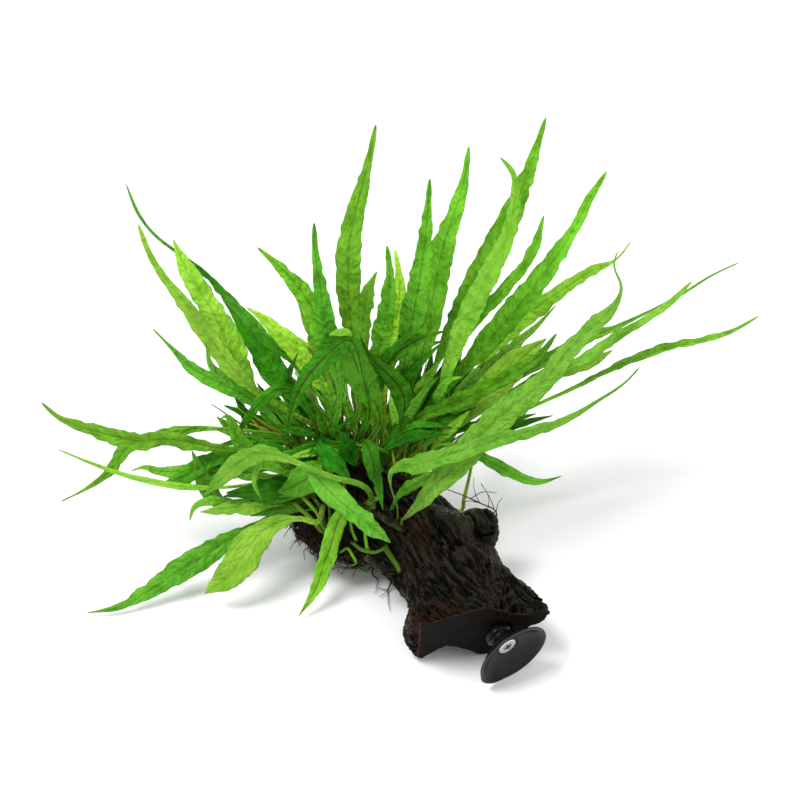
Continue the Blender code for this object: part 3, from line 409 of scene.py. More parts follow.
def wood_material():
    """Waterlogged wood: nearly black, with grain along the trunk, rusty patches, a wet sheen, painted shade
    in its fissures and painted highlights on some pits.
    """
    wood = Shader("wet_driftwood", (0.0008, 0.0006, 0.0003), 0.08)
    grain = wood.attribute("grain")[0]
    _, sawn, hollow, rust_and_pale_top = wood.attribute("wear")
    fibres = wood.noise(grain, (0.1, 0.85, 0.85), 4, 0.64)
    broad = wood.noise(grain, (0.05, 0.2, 0.2), 4, 0.6)
    pits_and_glints = wood.noise(grain, (0.28, 0.75, 0.75), 4, 0.65)
    moss = wood.noise(grain, (0.09, 0.13, 0.13), 3, 0.6, (9, 4, 2))
    wood.paint((0.03, 0.025, 0.017), (fibres, 0.44, 0.62))
    wood.paint((0.032, 0.011, 0.005), (broad, 0.5, 0.64, 0, 0.6))
    wood.paint((0.012, 0.02, 0.006), (moss, 0.58, 0.72, 0, 0.5))
    # Paler and greener about a spot on the log's top.
    wood.paint((0.06, 0.068, 0.036), (rust_and_pale_top, -0.8, 0, 1, 0), (pits_and_glints, 0.4, 0.56, 0.15, 0.85))
    # Painted highlights: pale spots on the highest pits, standing in for glints of wet wood.
    wood.paint((0.06, 0.044, 0.03), (pits_and_glints, 0.6, 0.72, 0, 0.55))
    # Painted shade: nearly black down the fissures and cracks.
    wood.paint((0.0006, 0.0005, 0.0004), (hollow, 0.1, 0.7, 0, 0.85))
    wood.paint((0.04, 0.014, 0.006), (rust_and_pale_top, 0, 1), (pits_and_glints, 0.35, 0.6, 0.2, 0.8))
    wood.paint(RIM_BROWN, (sawn, 0.1, 0.45), (pits_and_glints, 0.3, 0.6, 0.3, 0.8))
    height = wood.math("ADD", wood.times(fibres, 1.4), wood.times(pits_and_glints, 0.8))
    return wood.finished((pits_and_glints, 0.38, 0.6, 0.06, 0.36), height, 1, 0.003)


def sawn_material():
    """The log's sawn end: dull and nearly black, with faint saw lines and a brown rim."""
    end = Shader("sawn_end", (0.002, 0.0018, 0.0015), 0.05)
    grain = end.attribute("grain")[0]
    sawn = end.attribute("wear")[1]
    lines = end.noise(grain, (0.8, 0.15, 1.9), 5, 0.65)
    grit = end.noise(grain, (2.1, 2.1, 2.1), 4, 0.7)
    end.paint((0.0095, 0.0085, 0.007), (lines, 0.35, 0.68))
    end.paint((0.045, 0.038, 0.03), (grit, 0.64, 0.76, 0, 0.6))
    end.paint(RIM_BROWN, (sawn, 0.55, 0.92, 1, 0), (grit, 0.3, 0.6, 0.3, 0.8))
    return end.finished((grit, 0.3, 0.7, 0.5, 0.8), end.math("ADD", lines, grit), 0.5, 0.0006)


def root_material():
    """Dark matted roots and moss with a few green shreds."""
    felt = Shader("root_felt", (0.003, 0.0018, 0.001), 0.12)
    coarse = felt.noise(felt.spot(), 180, 4, 0.6)
    fine = felt.noise(felt.spot(), 1100, 4, 0.7)
    felt.paint((0.018, 0.011, 0.006), (fine, 0.35, 0.65))
    felt.paint((0.03, 0.055, 0.01), (coarse, 0.58, 0.7, 0, 0.5))
    return felt.finished((fine, 0.3, 0.7, 0.6, 0.9), fine, 0.8, 0.0008)


def hair_material(name, dark, light):
    """Rootlets and stalks, each with its own shade."""
    hair = Shader(name, dark, 0.14)
    _, tint, along, _ = hair.attribute("strand")
    fine = hair.noise(hair.spot(), 900, 3, 0.6)
    share = hair.math("ADD", hair.times(tint, 0.75), hair.times(fine, 0.4))
    hair.paint(light, (share, 0.15, 0.95))
    hair.paint(dark, (along, 0, 0.3, 0.5, 0))
    return hair.finished((fine, 0.3, 0.7, 0.45, 0.7), fine, 0.3, 0.0003)


def rhizome_material():
    """A creeping green stem under brown scales."""
    stem = Shader("rhizome_skin", (0.026, 0.055, 0.005), 0.1)
    patches = stem.noise(stem.spot(), 260, 3, 0.6)
    scales = stem.cells(stem.spot(), 900)
    stem.paint((0.008, 0.005, 0.002), (patches, 0.36, 0.56))
    stem.paint((0.03, 0.018, 0.008), (scales, 0.2, 0.6, 0.5, 0))
    return stem.finished((scales, 0, 0.7, 0.4, 0.7), scales, 0.5, 0.0005)


def rubber_material():
    """Smooth dark grey rubber with faint handling marks."""
    cup = Shader("cup_rubber", (0.0045, 0.0048, 0.0052), 0.17)
    cloud = cup.noise(cup.spot(), 90, 3, 0.55)
    grit = cup.noise(cup.spot(), 1600, 3, 0.6)
    speck = cup.cells(cup.spot(), 260)
    cup.paint((0.0088, 0.0092, 0.0096), (cloud, 0.35, 0.65))
    cup.paint((0.006, 0.005, 0.004), (speck, 0.05, 0.09, 0.7, 0))
    return cup.finished((cloud, 0.3, 0.7, 0.2, 0.34), grit, 0.08, 0.0002)


def steel_material():
    """Brushed stainless steel."""
    steel = Shader("screw_steel", (0.52, 0.51, 0.49), metallic=1)
    lines = steel.noise(steel.scaled(steel.spot(), (1, 1, 6)), 700, 3, 0.6)
    steel.paint((0.74, 0.73, 0.7), (lines, 0.3, 0.7))
    return steel.finished((lines, 0.3, 0.7, 0.2, 0.36), lines, 0.08, 0.0001)


def floor_material():
    """A plain pale backdrop."""
    pale = Shader("backdrop", (0.93, 0.93, 0.93), 0.1)
    cloud = pale.noise(pale.spot(), 3, 2)
    pale.paint((0.95, 0.95, 0.95), cloud)
    return pale.finished((cloud, 0, 1, 0.8, 0.9))


# By tone: the sheen, and the colours of the pale and the deep parts, the veins and the midrib
TONES = {
    "light": (0.15, (0.22, 0.49, 0.034), (0.09, 0.31, 0.004), (0.28, 0.48, 0.045), (0.11, 0.19, 0.014)),
    "green": (0.1, (0.135, 0.42, 0.02), (0.04, 0.19, 0.002), (0.19, 0.38, 0.015), (0.07, 0.055, 0.008)),
    "dark": (0.05, (0.055, 0.245, 0.006), (0.011, 0.08, 0.001), (0.085, 0.24, 0.01), (0.045, 0.024, 0.006)),
}
BLADE = {tone: blade_material(tone, *look) for tone, look in TONES.items()}


# --- the blades

def rows_of(middles, sides, above, thick, evening):
    """Even rows from foot to tip: lengths, middles, ways to both margins, ways up, thicknesses."""
    at = lengths_of(middles)
    length = at[-1]
    along = np.linspace(0, length, max(12, int(length / STEP)) + 1)
    rows = np.concatenate([middles, *sides, above, thick[:, None]], axis=1)
    rows = curve_through(rows, at, along)
    for _ in range(evening):
        rows[1:-1] = (rows[:-2] + 2 * rows[1:-1] + rows[2:]) / 4
    middles, left, right, above = (rows[:, k : k + 3] for k in (0, 3, 6, 9))
    half = 0.5 * norm(right - left)
    is_thread = np.interp(0.93 * length, along, half) < THREAD_HALF
    tip_half, tip_length = THREAD_TIP if is_thread else BLUNT_TIP
    blunt = tip_half * np.sqrt(np.clip((length - along) / tip_length, 0, 1))
    grown = (np.maximum(half, blunt) / np.maximum(half, 0.05))[:, None]
    columns = FEW_COLUMNS if half.max() < NARROW else COLUMNS
    return along, middles, left * grown, right * grown, unit(above), rows[:, 12:], columns


def surface(line, seed):
    """Points of the upper and the lower side, row by row and column by column."""
    along, middles, left, right, above, thick, columns = line
    half = 0.5 * norm(right - left)
    flat = eased(half, PETIOLE_HALF * 1.3, 2.6)[:, None]
    columns = np.concatenate([-columns[:0:-1], columns])
    size = np.abs(columns)[None, :]
    is_left = columns[None, :] < 0
    along = along[:, None]
    shift = np.where(is_left, 17.3, 71.9) + seed * 3.7
    height = half[:, None]

    # The margins run in and out a little, and rise and fall in long waves.
    edge = noise(grid(along / 3.1, shift), seed)
    nick = noise(grid(along / 1.3, shift + 31), seed)
    wave = noise(grid(along / 5, shift + 5), seed)
    reach = 1 + (0.62 * edge + 0.22 * nick) * flat * size / np.maximum(height, 1.3)
    margin = np.where(is_left[..., None], left[:, None, :], right[:, None, :])
    base = middles[:, None, :] + margin * (size * reach)[..., None]
    lift = 0.2 * height * wave * size**2.2 * flat
    lift = lift + 0.1 * height * (size - size**2) * flat

    # Between the side veins the blade swells, and it sinks along the midrib.
    slanted = along - VEIN_SLANT * size * height
    swell = np.abs(np.sin(pi * slanted / VEIN_SPACING + 0.9 * wave)) ** 0.8
    swell = (swell - 0.6) * np.sin(pi * np.clip(size, 0, 1)) ** 0.7
    grain = noise(grid(columns * height / 1.2, along / 1.5), seed + 3)
    crinkle = noise(grid(columns * height / 2.1, slanted / 2.3), seed + 5)
    relief = 0.28 * swell + 0.36 * crinkle + 0.12 * grain
    lift = lift + relief * flat * np.clip(height / 3.5, 0.3, 1.1)
    lift = lift - MIDRIB_SINK * np.exp(-((size * height / 0.5) ** 2)) * flat

    # A petiole is round. A blade is thin, with a rib underneath.
    round_half = np.sqrt(np.maximum(1 - size**2, 0)) * thick / 2
    blade_half = BLADE_HALF_THICKNESS * np.sqrt(np.maximum(1 - size**8, 0))
    upper = round_half * (1 - flat) + blade_half * flat
    rib = RIB_DEPTH * np.exp(-((size * height / 0.7) ** 2)) * flat * thick
    up = above[:, None, :]
    top = base + up * (lift + upper)[..., None]
    bottom = base + up * (lift - upper - rib)[..., None]
    return top, bottom, columns, half, relief


def blade_mesh(line, seed, shade):
    """Points and faces of a closed blade, and its attributes by name."""
    line = rows_of(*line)
    top, bottom, columns, half, relief = surface(line, seed)
    along = line[0]
    rows = len(along)
    loop = np.concatenate([top, bottom[:, -2:0:-1]], axis=1)
    ring = loop.shape[1]
    across = np.concatenate([columns, columns[-2:0:-1]])
    relief = np.concatenate([relief, relief[:, -2:0:-1]], axis=1)
    points = np.concatenate([loop.reshape(-1, 3), loop[[0, -1]].mean(axis=1)])
    faces = quads(rows, ring).tolist()
    foot, tip = rows * ring, rows * ring + 1
    last = (rows - 1) * ring
    for spot in range(ring):
        after = (spot + 1) % ring
        faces += [(foot, spot, after), (tip, last + after, last + spot)]
    place = grid(across * half[:, None], along[:, None], seed * 13.7).reshape(-1, 3)
    leaf = grid(relief, (along / along[-1])[:, None], 0).reshape(-1, 3)
    ends = np.array([[0, 0, seed * 13.7], [0, along[-1], seed * 13.7]])
    marks = {
        "blade": np.concatenate([place, ends]),
        "leaf": np.concatenate([leaf, [[0, 0, 0], [0, 1, 0]]]),
        "shade": np.tile(shade, (len(points), 1)),
    }
    return points, faces, marks


def rings_of(name):
    """A frond solid's rings from foot to tip: left edge, top, right edge and underside.

    Ring by ring from the tip, each edge is joined to three points of the ring beyond it, and the
    top and the underside to one.
    """
    points, faces = welded(name)
    beside = [set() for _ in points]
    for face in faces:
        for a, b in zip(face, face[1:] + face[:1]):
            beside[a].add(b)
            beside[b].add(a)
    best = None
    for tip in range(len(points)):
        rings, known, edge = [], {tip}, beside[tip]
        while edge:
            rings.append(sorted(edge))
            known |= edge
            edge = {n for v in edge for n in beside[v]} - known
        if any(len(ring) != 4 for ring in rings):
            continue
        spread = sum(np.ptp(points[ring], axis=0).sum() for ring in rings)
        if best is None or spread < best[0]:
            best = (spread, tip, rings[::-1])
    _, tip, rings = best
    row = [v for count in (3, 1) for v in rings[0] if len(beside[v] & set(rings[1])) == count]
    ordered = [row]  # for each ring: the two edges, then top and underside
    for here, beyond in zip(rings, rings[1:]):
        row = [
            min(beside[v] & set(beyond), key=lambda w: len(beside[w] & set(here))) for v in row
        ]
        ordered.append(row)
    corners = points[np.array(ordered)]
    widest = int(np.argmax(norm(corners[:, 0] - corners[:, 1])))
    a, b, c, d = corners[widest]
    run = corners[min(widest + 1, len(corners) - 1)].mean(axis=0) - corners[widest - 1].mean(axis=0)
    if (c - d) @ (EYE - c) < 0:
        corners = corners[:, [0, 1, 3, 2]]
        c, d = d, c
    if np.cross(b - a, run) @ (c - d) < 0:
        corners = corners[:, [1, 0, 2, 3]]
    return corners[:, [0, 2, 1, 3]], points[tip]


# Fronds whose blade opens late, by number: the shares of the length between which it opens, its
# width there as a share of the solid's at both ends, and how many times the rows are evened
OPENING = {
    1: (0.14, 0.32, 0.5, 1, 8), 2: (0.2, 0.42, 0.4, 1, 8), 6: (0, 1, 0.72, 0.72, 8),
    10: (0, 1, 0.78, 0.78, 8), 18: (0.05, 0.26, 0.45, 1, 8), 22: (0.1, 0.3, 0.45, 1, 8),
    23: (0.1, 0.3, 0.45, 1, 8), 24: (0.16, 0.34, 0.45, 1, 8), 36: (0.1, 0.42, 0.5, 0.95, 8),
    44: (0.44, 0.6, 0.12, 0.9, 40), 45: (0.08, 0.66, 0.2, 1, 12), 47: (0.38, 0.56, 0.2, 0.9, 20),
}
# Fronds that are broad up to one of their ends: the least half-width in mm, the shares of the
# length between which it sets in, how long it takes to round off, and the share where it ends
FULLER = {
    3: (2.2, 0.6, 0.8, 0.05, 1), 11: (2.1, 0.55, 0.72, 0.04, 1), 12: (2, 0.7, 0.85, 0.1, 1),
    13: (2.2, 0.5, 0.7, 0.06, 0.9), 14: (3.2, 0.5, 0.66, 0.08, 0.86), 16: (1.6, 0.6, 0.75, 0.04, 1),
    20: (2.6, 0.5, 0.7, 0.06, 1), 21: (1.8, 0.6, 0.75, 0.05, 1), 24: (1.5, 0.86, 0.91, 0.03, 1),
    25: (1.3, 0.6, 0.75, 0.06, 1), 26: (4, 0.55, 0.75, 0.17, 1), 42: (3.7, 0.04, 0.16, 1, 1),
    43: (3.6, 0.16, 0.32, 0.12, 1),
}
# Fronds whose hue and brightness stand out from those of their tone. The brightness is partly painted light
# and shade: raised on fronds that stand in the light, lowered on those in the shade of the crown
SHADES = {
    2: (0.514, 0.98), 3: (0.5, 1.28), 4: (0.508, 1), 5: (0.48, 2), 6: (0.508, 1.25), 8: (0.502, 1.28),
    10: (0.506, 0.96), 11: (0.502, 1.35), 12: (0.502, 1.42), 13: (0.495, 1.35), 14: (0.508, 0.74),
    18: (0.512, 0.7), 22: (0.505, 0.84), 24: (0.505, 1.45), 26: (0.495, 1.35), 27: (0.51, 1.45),
    28: (0.486, 1.6), 29: (0.514, 0.92), 33: (0.5, 1.3), 36: (0.506, 0.72), 39: (0.508, 0.82),
    40: (0.51, 0.92), 42: (0.492, 1.25), 43: (0.522, 0.9), 44: (0.508, 1.02), 45: (0.504, 0.84),
    46: (0.506, 0.78), 47: (0.506, 0.7),
}
# Fronds that catch more light than the others of their tone, and those with a plain midrib
LOOKS = {4: "green", 6: "light", 15: "green", 17: "green", 22: "light", 31: "green"}
RIBS = {44: 1, 45: 1, 46: 1, 47: 0.9, 42: 0.9, 43: 0.7}
RNG = np.random.default_rng(11)


def blade_of(number):
    """The line of the blade that a frond's solid stands for, for rows_of."""
    corners, tip = rings_of(f"frond_{number:02d}")
    left, top, right, bottom = corners.swapaxes(0, 1)
    middles = (top + bottom) / 2
    sides = np.pad([left - middles, right - middles], ((0, 0), (0, 1), (0, 0)))
    middles = np.concatenate([middles, tip[None]])
    above = unit(top - bottom)
    above = np.concatenate([above, above[-1:]])
    thick = norm(top - bottom)
    thick = np.append(thick, thick[-1] * 0.3)
    share = lengths_of(middles) / lengths_of(middles)[-1]
    low, high, shut, wide, evening = OPENING.get(number, (0, 1, 1, 1, ROW_EVENING))
    wider = shut + (wide - shut) * eased(share, low, high)
    if number in FULLER:
        least, low, high, rounding, end = FULLER[number]
        half = norm(sides[1] - sides[0]) / 2
        full = least * eased(share, low, high) * np.sqrt(np.clip((end - share) / rounding, 0, 1))
        wider = np.maximum(full / np.maximum(half, 0.05), wider)
        wider[-1] = 1
    return middles, sides * wider[:, None], above, thick, evening


def any_shade():
    """A hue, a brightness and how plain the midrib is."""
    return RNG.uniform(0.49, 0.512), RNG.uniform(0.88, 1.14), RNG.uniform(0.25, 0.62)


for number in range(1, 53):
    name = f"frond_{number:02d}"
    slot = frame["nodes"][name].material_slots[0].material.name
    hue, value, rib = any_shade()
    shade = (*SHADES.get(number, (hue, value)), RIBS.get(number, rib))
    look = LOOKS.get(number, slot.removeprefix("frond_"))
    piece = make(name + "_blade", *blade_mesh(blade_of(number), number, shade), BLADE[look], slot)
    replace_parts(piece, name)


# --- small fronds

RHIZOMES = [f"rhizome_{number}" for number in range(1, 5)]
FEET = tree_of(RHIZOMES)


def drawn_blade(spots, width, petiole=0.25, turn=5, peak=0.45, rooted=True):
    """A blade along a path of points. A rooted one starts at the nearest place on a rhizome."""
    spots = np.array(spots)
    if rooted:
        foot = nearest(FEET, spots[0])
        spots = np.concatenate([foot[None], foot[None] + [[0, 0, 2.5]], spots])
    measured = lengths_of(spots)
    if rooted:
        petiole = max(petiole, 0.85 * measured[2] / measured[-1])
    count = max(6, int(measured[-1] / 6))
    middles = curve_through(spots, measured, np.linspace(0, measured[-1], count + 1))
    share = lengths_of(middles) / lengths_of(middles)[-1]
    tangents = unit(np.gradient(middles, axis=0))
    across = unit(np.cross(tangents, EYE - middles))
    for index in range(1, len(across)):  # no row is turned over against the one before it
        across[index] *= copysign(1, across[index] @ across[index - 1])
    angle = radians(turn)
    across = across * cos(angle) + np.cross(across, tangents) * sin(angle)
    above = np.cross(across, tangents)
    opened = np.clip((share - petiole) / (1 - petiole), 0, 1)
    rise = np.sin(pi / 2 * np.clip(opened / peak, 0, 1)) ** 1.2
    fall = 1 - np.clip((opened - peak) / (1 - peak), 0, 1) ** 1.5
    stalk = PETIOLE_HALF * np.clip((1 - share) / 0.12, 0.25, 1)
    half = np.maximum(rise * fall * width / 2, stalk)[:, None]
    lift = 0.14 * half * above
    sides = lift - across * half, lift + across * half
    return middles, sides, above, 1.1 * (1 - 0.5 * share), ROW_EVENING


# Fronds too small for a solid of their own, by tone: greatest width, depths of both ends, and
# pixels from the stalk to the tip
SMALL_FRONDS = {
    "light": table("""
9 10 18 334 395 321 345 308 317 298 286
5 4 0 290 420 262 400 240 384 224 377 212 368 208 356 206 343
7 -6 -14 265 470 215 473 185 471 154 471 140 466 131 471
5 -16 -22 250 508 225 502 211 500 196 504 190 520
4 -4 -12 348 452 320 451 300 455 282 461
5 6 2 332 380 322 362 306 346
7 10 14 398 400 402 375 410 362 425 347 442 341
5 2 -2 436 410 440 392 448 380 462 377
3.8 -2 -6 396 432 395 419 392 406 390 393
5 -4 -6 440 440 448 432 459 421 469 411
2.6 0 2 324 438 319 415 315 392
3.2 2 6 335 432 328 405 322 385 319 372
3.6 2 6 340 434 335 410 330 385 326 366
4 3 5 357 436 350 415 346 398 347 384
2.8 3 5 364 432 360 408 355 390 349 374
2.6 2 2 374 434 371 412 369 396
4 6 8 352 420 340 392 332 368 330 350
"""),
    "green": table("""
8 -14 -10 222 506 214 497 206 485 200 470 192 451
14 -12 -24 324 464 315 472 302 482 287 490 278 492
5.5 -22 -20 386 518 397 497 411 486 432 477 453 466
6 2 0 412 418 416 400 426 380 441 360
4.2 -2 -3 400 430 411 410 422 394 438 377
1.4 4 0 446 408 464 392 478 384 486 382 490 378 487 374 483 377
2.2 -8 -10 358 444 370 445 379 448 388 453
3.2 -16 -18 360 512 370 501 384 497
6 4 2 306 430 290 412 272 402 256 398
4 10 14 370 410 376 380 380 352 378 330
6 10 16 406 408 414 378 420 350 430 330
6 6 6 430 424 452 408 470 396 490 388
6 -6 -12 316 468 280 464 240 468 205 481
5 -14 -24 318 494 290 497 262 500 230 503
5 -16 -22 326 506 300 508 276 510 250 516
"""),
    "dark": table("""
8.5 -12 -20 320 446 327 454 338 465 351 481
9 -6 -12 356 468 352 456 346 444 342 432
7 -2 -10 350 446 325 445 304 449 282 461
4 4 -4 316 412 298 392 288 380 292 366 298 353
5.5 3 4 380 392 384 370 396 353 415 341 448 330
3 3 2 380 392 384 362 400 342 416 330 428 321 430 316 427 314
5 -8 -8 384 450 404 439 424 434 450 435
4.5 -4 -5 382 446 400 431 424 424 452 428
3.6 -2 -4 388 449 412 436 442 422 476 407
4 5 5 402 400 407 378 422 361 444 341
3.4 -1 -3 325 438 323 420 317 408 302 402
1.8 -3 -5 334 434 348 421 364 411
4 0 -6 322 438 300 432 284 428 268 424
6 8 12 420 412 434 388 448 366 458 344
4 2 2 436 436 456 430 474 424 494 424
7 -10 -20 326 480 290 482 252 489 226 493
7 -4 -8 314 460 282 451 246 454 214 468
5 0 -2 308 450 280 440 246 440 216 446
6 -12 -18 330 488 312 494 292 500 270 500
"""),
}
# A frond in the crown is painted a little greener than the others, and so many times as bright, as painted
# shade inside the crown
INNER_SHADE_HUE = 0.01
INNER_SHADE_VALUE = {"light": 1, "green": 0.8, "dark": 0.96}


def joined(name, blades, tone, seeds):
    """One mesh of several blades."""
    parts = []
    for blade, seed in zip(blades, seeds):
        hue, value, rib = any_shade()
        parts.append(blade_mesh(blade, seed, (hue + INNER_SHADE_HUE, value * INNER_SHADE_VALUE[tone], rib)))
    make_joined(name, parts, BLADE[tone], "frond_" + tone)


# The fan of the crown's inner blades: pixel where it starts and degrees of lean, at either end,
# the most that any may lean, and how many there are of each tone
FAN = np.array([(292, 478, -64), (448, 470, 50)])
MOST_LEAN = 48
INNER_TONES = {"light": 11, "green": 14, "dark": 15}


def fan():
    """The pixel where a blade of the fan starts, and its lean."""
    place = RNG.uniform()
    start = FAN[0] * (1 - place) + FAN[1] * place
    return start[:2], start[2]


def inner_blade():
    """A blade somewhere inside the crown, leaning as its place in the fan says."""
    foot, lean = fan()
    lean = radians(min(lean + RNG.normal() * 11, MOST_LEAN))
    reach = RNG.uniform(62, 94) + 38 * cos(lean)
    curl = RNG.normal() * 0.22 + 0.12 * sin(lean)
    way = np.array([sin(lean), -cos(lean)])
    beside = np.array([-way[1], way[0]])
    depth = RNG.uniform(3, 20)
    spots = []
    for share in (0.25, 0.5, 0.75, 1):
        pixel = foot + reach * (way * share + beside * curl * share**2)
        spots.append(sight(*pixel, depth + 9 * share))
    return drawn_blade(spots, RNG.uniform(3.2, 5.6), petiole=0.52, turn=RNG.uniform(-25, 25), peak=0.5)


for tone, inner_count in INNER_TONES.items():
    small = [
        drawn_blade(by_pixels(pixels, near, far), width)
        for width, near, far, *pixels in SMALL_FRONDS[tone]
    ]
    joined(f"small_fronds_{tone}", small, tone, range(60, 60 + len(small)))
    inner = [inner_blade() for _ in range(inner_count)]
    joined(f"inner_fronds_{tone}", inner, tone, range(100, 100 + inner_count))


# --- the log

SAWN_NORMAL = unit([0.13, -0.95, -0.27])
LOG_VOXEL = 0.52
MEAN_GIRTH = 40
STATIONS = 13  # along the log where its middle and its girth are measured


def grain_of(coarse, points):
    """Points along the log's middle line and across it two ways, by the log's coarse form."""
    sawn = coarse[coarse @ SAWN_NORMAL > np.max(coarse @ SAWN_NORMAL) - 1].mean(axis=0)
    far = coarse[np.argmax(norm(coarse - sawn))]
    along = unit(sawn - far)
    side = unit(np.cross(UPRIGHT, along))
    ways = np.array([along, side, np.cross(along, side)])
    local, grain = ((spots - (sawn + far) / 2) @ ways.T for spots in (coarse, points))
    at = np.linspace(local[:, 0].min() + 4, local[:, 0].max() - 4, STATIONS)
    near = [np.abs(local[:, 0] - spot) < 7 for spot in at]
    line = np.array([local[keep].mean(axis=0) for keep in near])
    spread = np.array([np.ptp(local[keep], axis=0) for keep in near]) / MEAN_GIRTH
    held = np.clip(grain[:, 0], at[0], at[-1])
    for k in (1, 2):
        grain[:, k] -= np.polyval(np.polyfit(at, line[:, k], 3), held)
        grain[:, k] /= np.maximum(np.polyval(np.polyfit(at, spread[:, k], 2), held), 0.4)
    return grain


# Places on the log by pixel
RUSTY_LOBE = (409, 628)
# A paler, greener patch on the log's top
PALE_TOP = (455, 510)
BARK_EDGE = (419, 642)  # where the sawn face gives way to bark
# Swellings and holes of the log: pixel, radius and height or depth in mm
SHOULDERS = [(462, 522, 5.5, 2.6), (487, 552, 5, 3.4), (480, 556, 5, 1.5), (541, 607, 3, 1)]
HOLES = [
    (516, 608, 2.2, 3.2), (443, 600, 1, 1.6), (438, 608, 0.9, 1.5), (509, 590, 1.4, 1.4),
    (447, 541, 1.3, 1.2),
]


def log_piece():
    coarse, faces = welded("driftwood")
    tree = tree_of(["driftwood"])
    points, normals, faces = refined(coarse, faces, LOG_VOXEL, 5)
    grain = grain_of(coarse, points)
    plane = np.max(coarse @ SAWN_NORMAL)
    near_end = eased(points @ SAWN_NORMAL, plane - 2.5, plane - 1)
    beside = (points - seen(tree, *BARK_EDGE)) @ unit(np.cross(UPRIGHT, SAWN_NORMAL))
    beside += 0.8 * noise(points / 3, 12)
    sawn = eased(normals @ SAWN_NORMAL, 0.6, 0.93) * near_end * eased(beside, -0.8, 0.8)
    frayed = eased(-beside, 0, 5) * near_end
    ground = eased(points[:, 2], 0.4, 2.5)
    free = (1 - sawn) * (0.15 + 0.85 * ground)

    along = grain + noise(grain / [40, 15, 15], 5)[:, None] * [0, 1.6, 1.6]
    fissure = eased(1 - np.abs(noise(along / [11, 1.3, 1.3], 1)), 0.66, 1)
    fissure *= eased(noise(grain / [9, 5, 5], 7), -0.6, 0.3)
    crack = eased(1 - np.abs(noise(along / [26, 4.2, 4.2], 2)), 0.88, 1)
    crack *= eased(noise(grain / [14, 8, 8], 8), -0.1, 0.4)
    lumps = noise(grain / [22, 7, 7], 3) + 0.4 * noise(points / 4.1, 10)
    chips = noise(grain / [3, 1.5, 1.5], 6)
    crumbs = noise(points / 0.95, 11)
    depth = 0.5 * lumps + 0.4 * chips + 0.3 * crumbs - 0.85 * fissure - 1.9 * crack
    depth = depth * free + sawn * (0.08 * crumbs - 0.15 * np.maximum(chips, 0)) - 1.5 * frayed

    def away(across, down):
        return norm(points - seen(tree, across, down))

    for *pixel, radius, high in SHOULDERS:
        depth += high * np.exp(-((away(*pixel) / radius) ** 2))
    for *pixel, radius, deep in HOLES:
        depth -= deep * eased(1 - away(*pixel) / radius, 0, 0.6)
    points = points + normals * depth[:, None]
    beyond = points @ SAWN_NORMAL - plane
    points -= np.maximum(beyond, 0)[:, None] * SAWN_NORMAL
    points[:, 2] = np.maximum(points[:, 2], 0)
    # The wear and shade marks: the sawn end, the fissures and cracks that get painted shade, and rust about
    # the left lobe less a paler, greener patch about the top.
    rust_and_pale_top = np.exp(-((away(*RUSTY_LOBE) / 9) ** 2)) - np.exp(-((away(*PALE_TOP) / 11) ** 2))
    wear = np.stack([sawn, np.clip(fissure * 0.6 + crack, 0, 1) * free, rust_and_pale_top], axis=1)
    marks = {"grain": grain, "wear": wear}
    piece = make("driftwood_log", points, faces, marks, wood_material(), "driftwood")
    piece.data.materials.append(sawn_material())
    on_end = np.array([sawn[list(face)].mean() > 0.5 for face in faces])
    piece.data.polygons.foreach_set("material_index", on_end.astype(np.int32))
    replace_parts(piece, "driftwood")


log_piece()


# --- the roots

MAT_VOXEL = 0.8
ROOT_EDGE = unit([-0.62, -0.35, -0.7])  # the side where the root mass thins out
ROOTLETS = 1500
STALKS = 115


def strands(name, paths, radii, material, slot, sides):
    """One mesh of thin tubes, tapering where one radius is given, each with its own shade."""
    parts = []
    turns = (np.arange(sides) * 2 * pi / sides)[None, :, None]
    for path, radius in zip(paths, radii):
        ways = unit(np.gradient(path, axis=0))
        first = unit(np.cross(ways, unit([0.31, 0.17, 0.93])))
        second = np.cross(ways, first)
        share = np.linspace(0, 1, len(path))
        if np.ndim(radius) == 0:
            radius = radius * (1 - 0.7 * share**2)
        ring = np.cos(turns) * first[:, None] + np.sin(turns) * second[:, None]
        points = (path[:, None] + ring * radius[:, None, None]).reshape(-1, 3)
        faces = quads(len(path), sides)[:, [0, 3, 2, 1]].tolist()
        faces += [range(sides)[::-1], range(len(points) - sides, len(points))]
        mark = grid(RNG.uniform(), np.repeat(share, sides), 0)
        parts.append((points, faces, {"strand": mark}))
    make_joined(name, parts, material, slot)


def creeping(tree, start, steps, stride, lift, fall):
    """A path that wanders over a surface, held a little above it."""
    spot = np.array(start)
    way = unit(RNG.normal(size=3) + [0, 0, -fall])
    path = []
    for _ in range(steps):
        hit, normal = map(np.array, tree.find_nearest(Vector(spot))[:2])
        spot = hit + normal * RNG.uniform(0.3, 1) * lift
        path.append(spot)
        way = unit(way + RNG.normal(size=3) * 0.45 + [0, 0, -0.25 * fall])
        way = unit(way - (way @ normal) * normal)
        spot = spot + way * stride
    return np.array(path)


def loose(start, way, steps, stride, curl=0.35):
    """A path that leaves a surface and curls in the air."""
    spot, way = start, unit(way)
    path = [spot - way * stride]
    for _ in range(steps):
        path.append(spot)
        way = unit(way + RNG.normal(size=3) * curl + [0, 0, -0.08])
        spot = spot + way * stride
    return np.array(path)


def on_faces(points, faces, count):
    """Points spread evenly by area over a mesh, with the normals there."""
    corners = points[np.array([face[:3] for face in faces])]
    first, second = corners[:, 1] - corners[:, 0], corners[:, 2] - corners[:, 0]
    cross = np.cross(first, second)
    area = norm(cross)
    chosen = RNG.choice(len(faces), count, p=area / area.sum())
    share = RNG.uniform(size=(count, 2))
    flip = share.sum(axis=1) > 1
    share[flip] = 1 - share[flip]
    spots = corners[chosen, 0] + share[:, :1] * first[chosen] + share[:, 1:] * second[chosen]
    return spots, unit(cross[chosen])


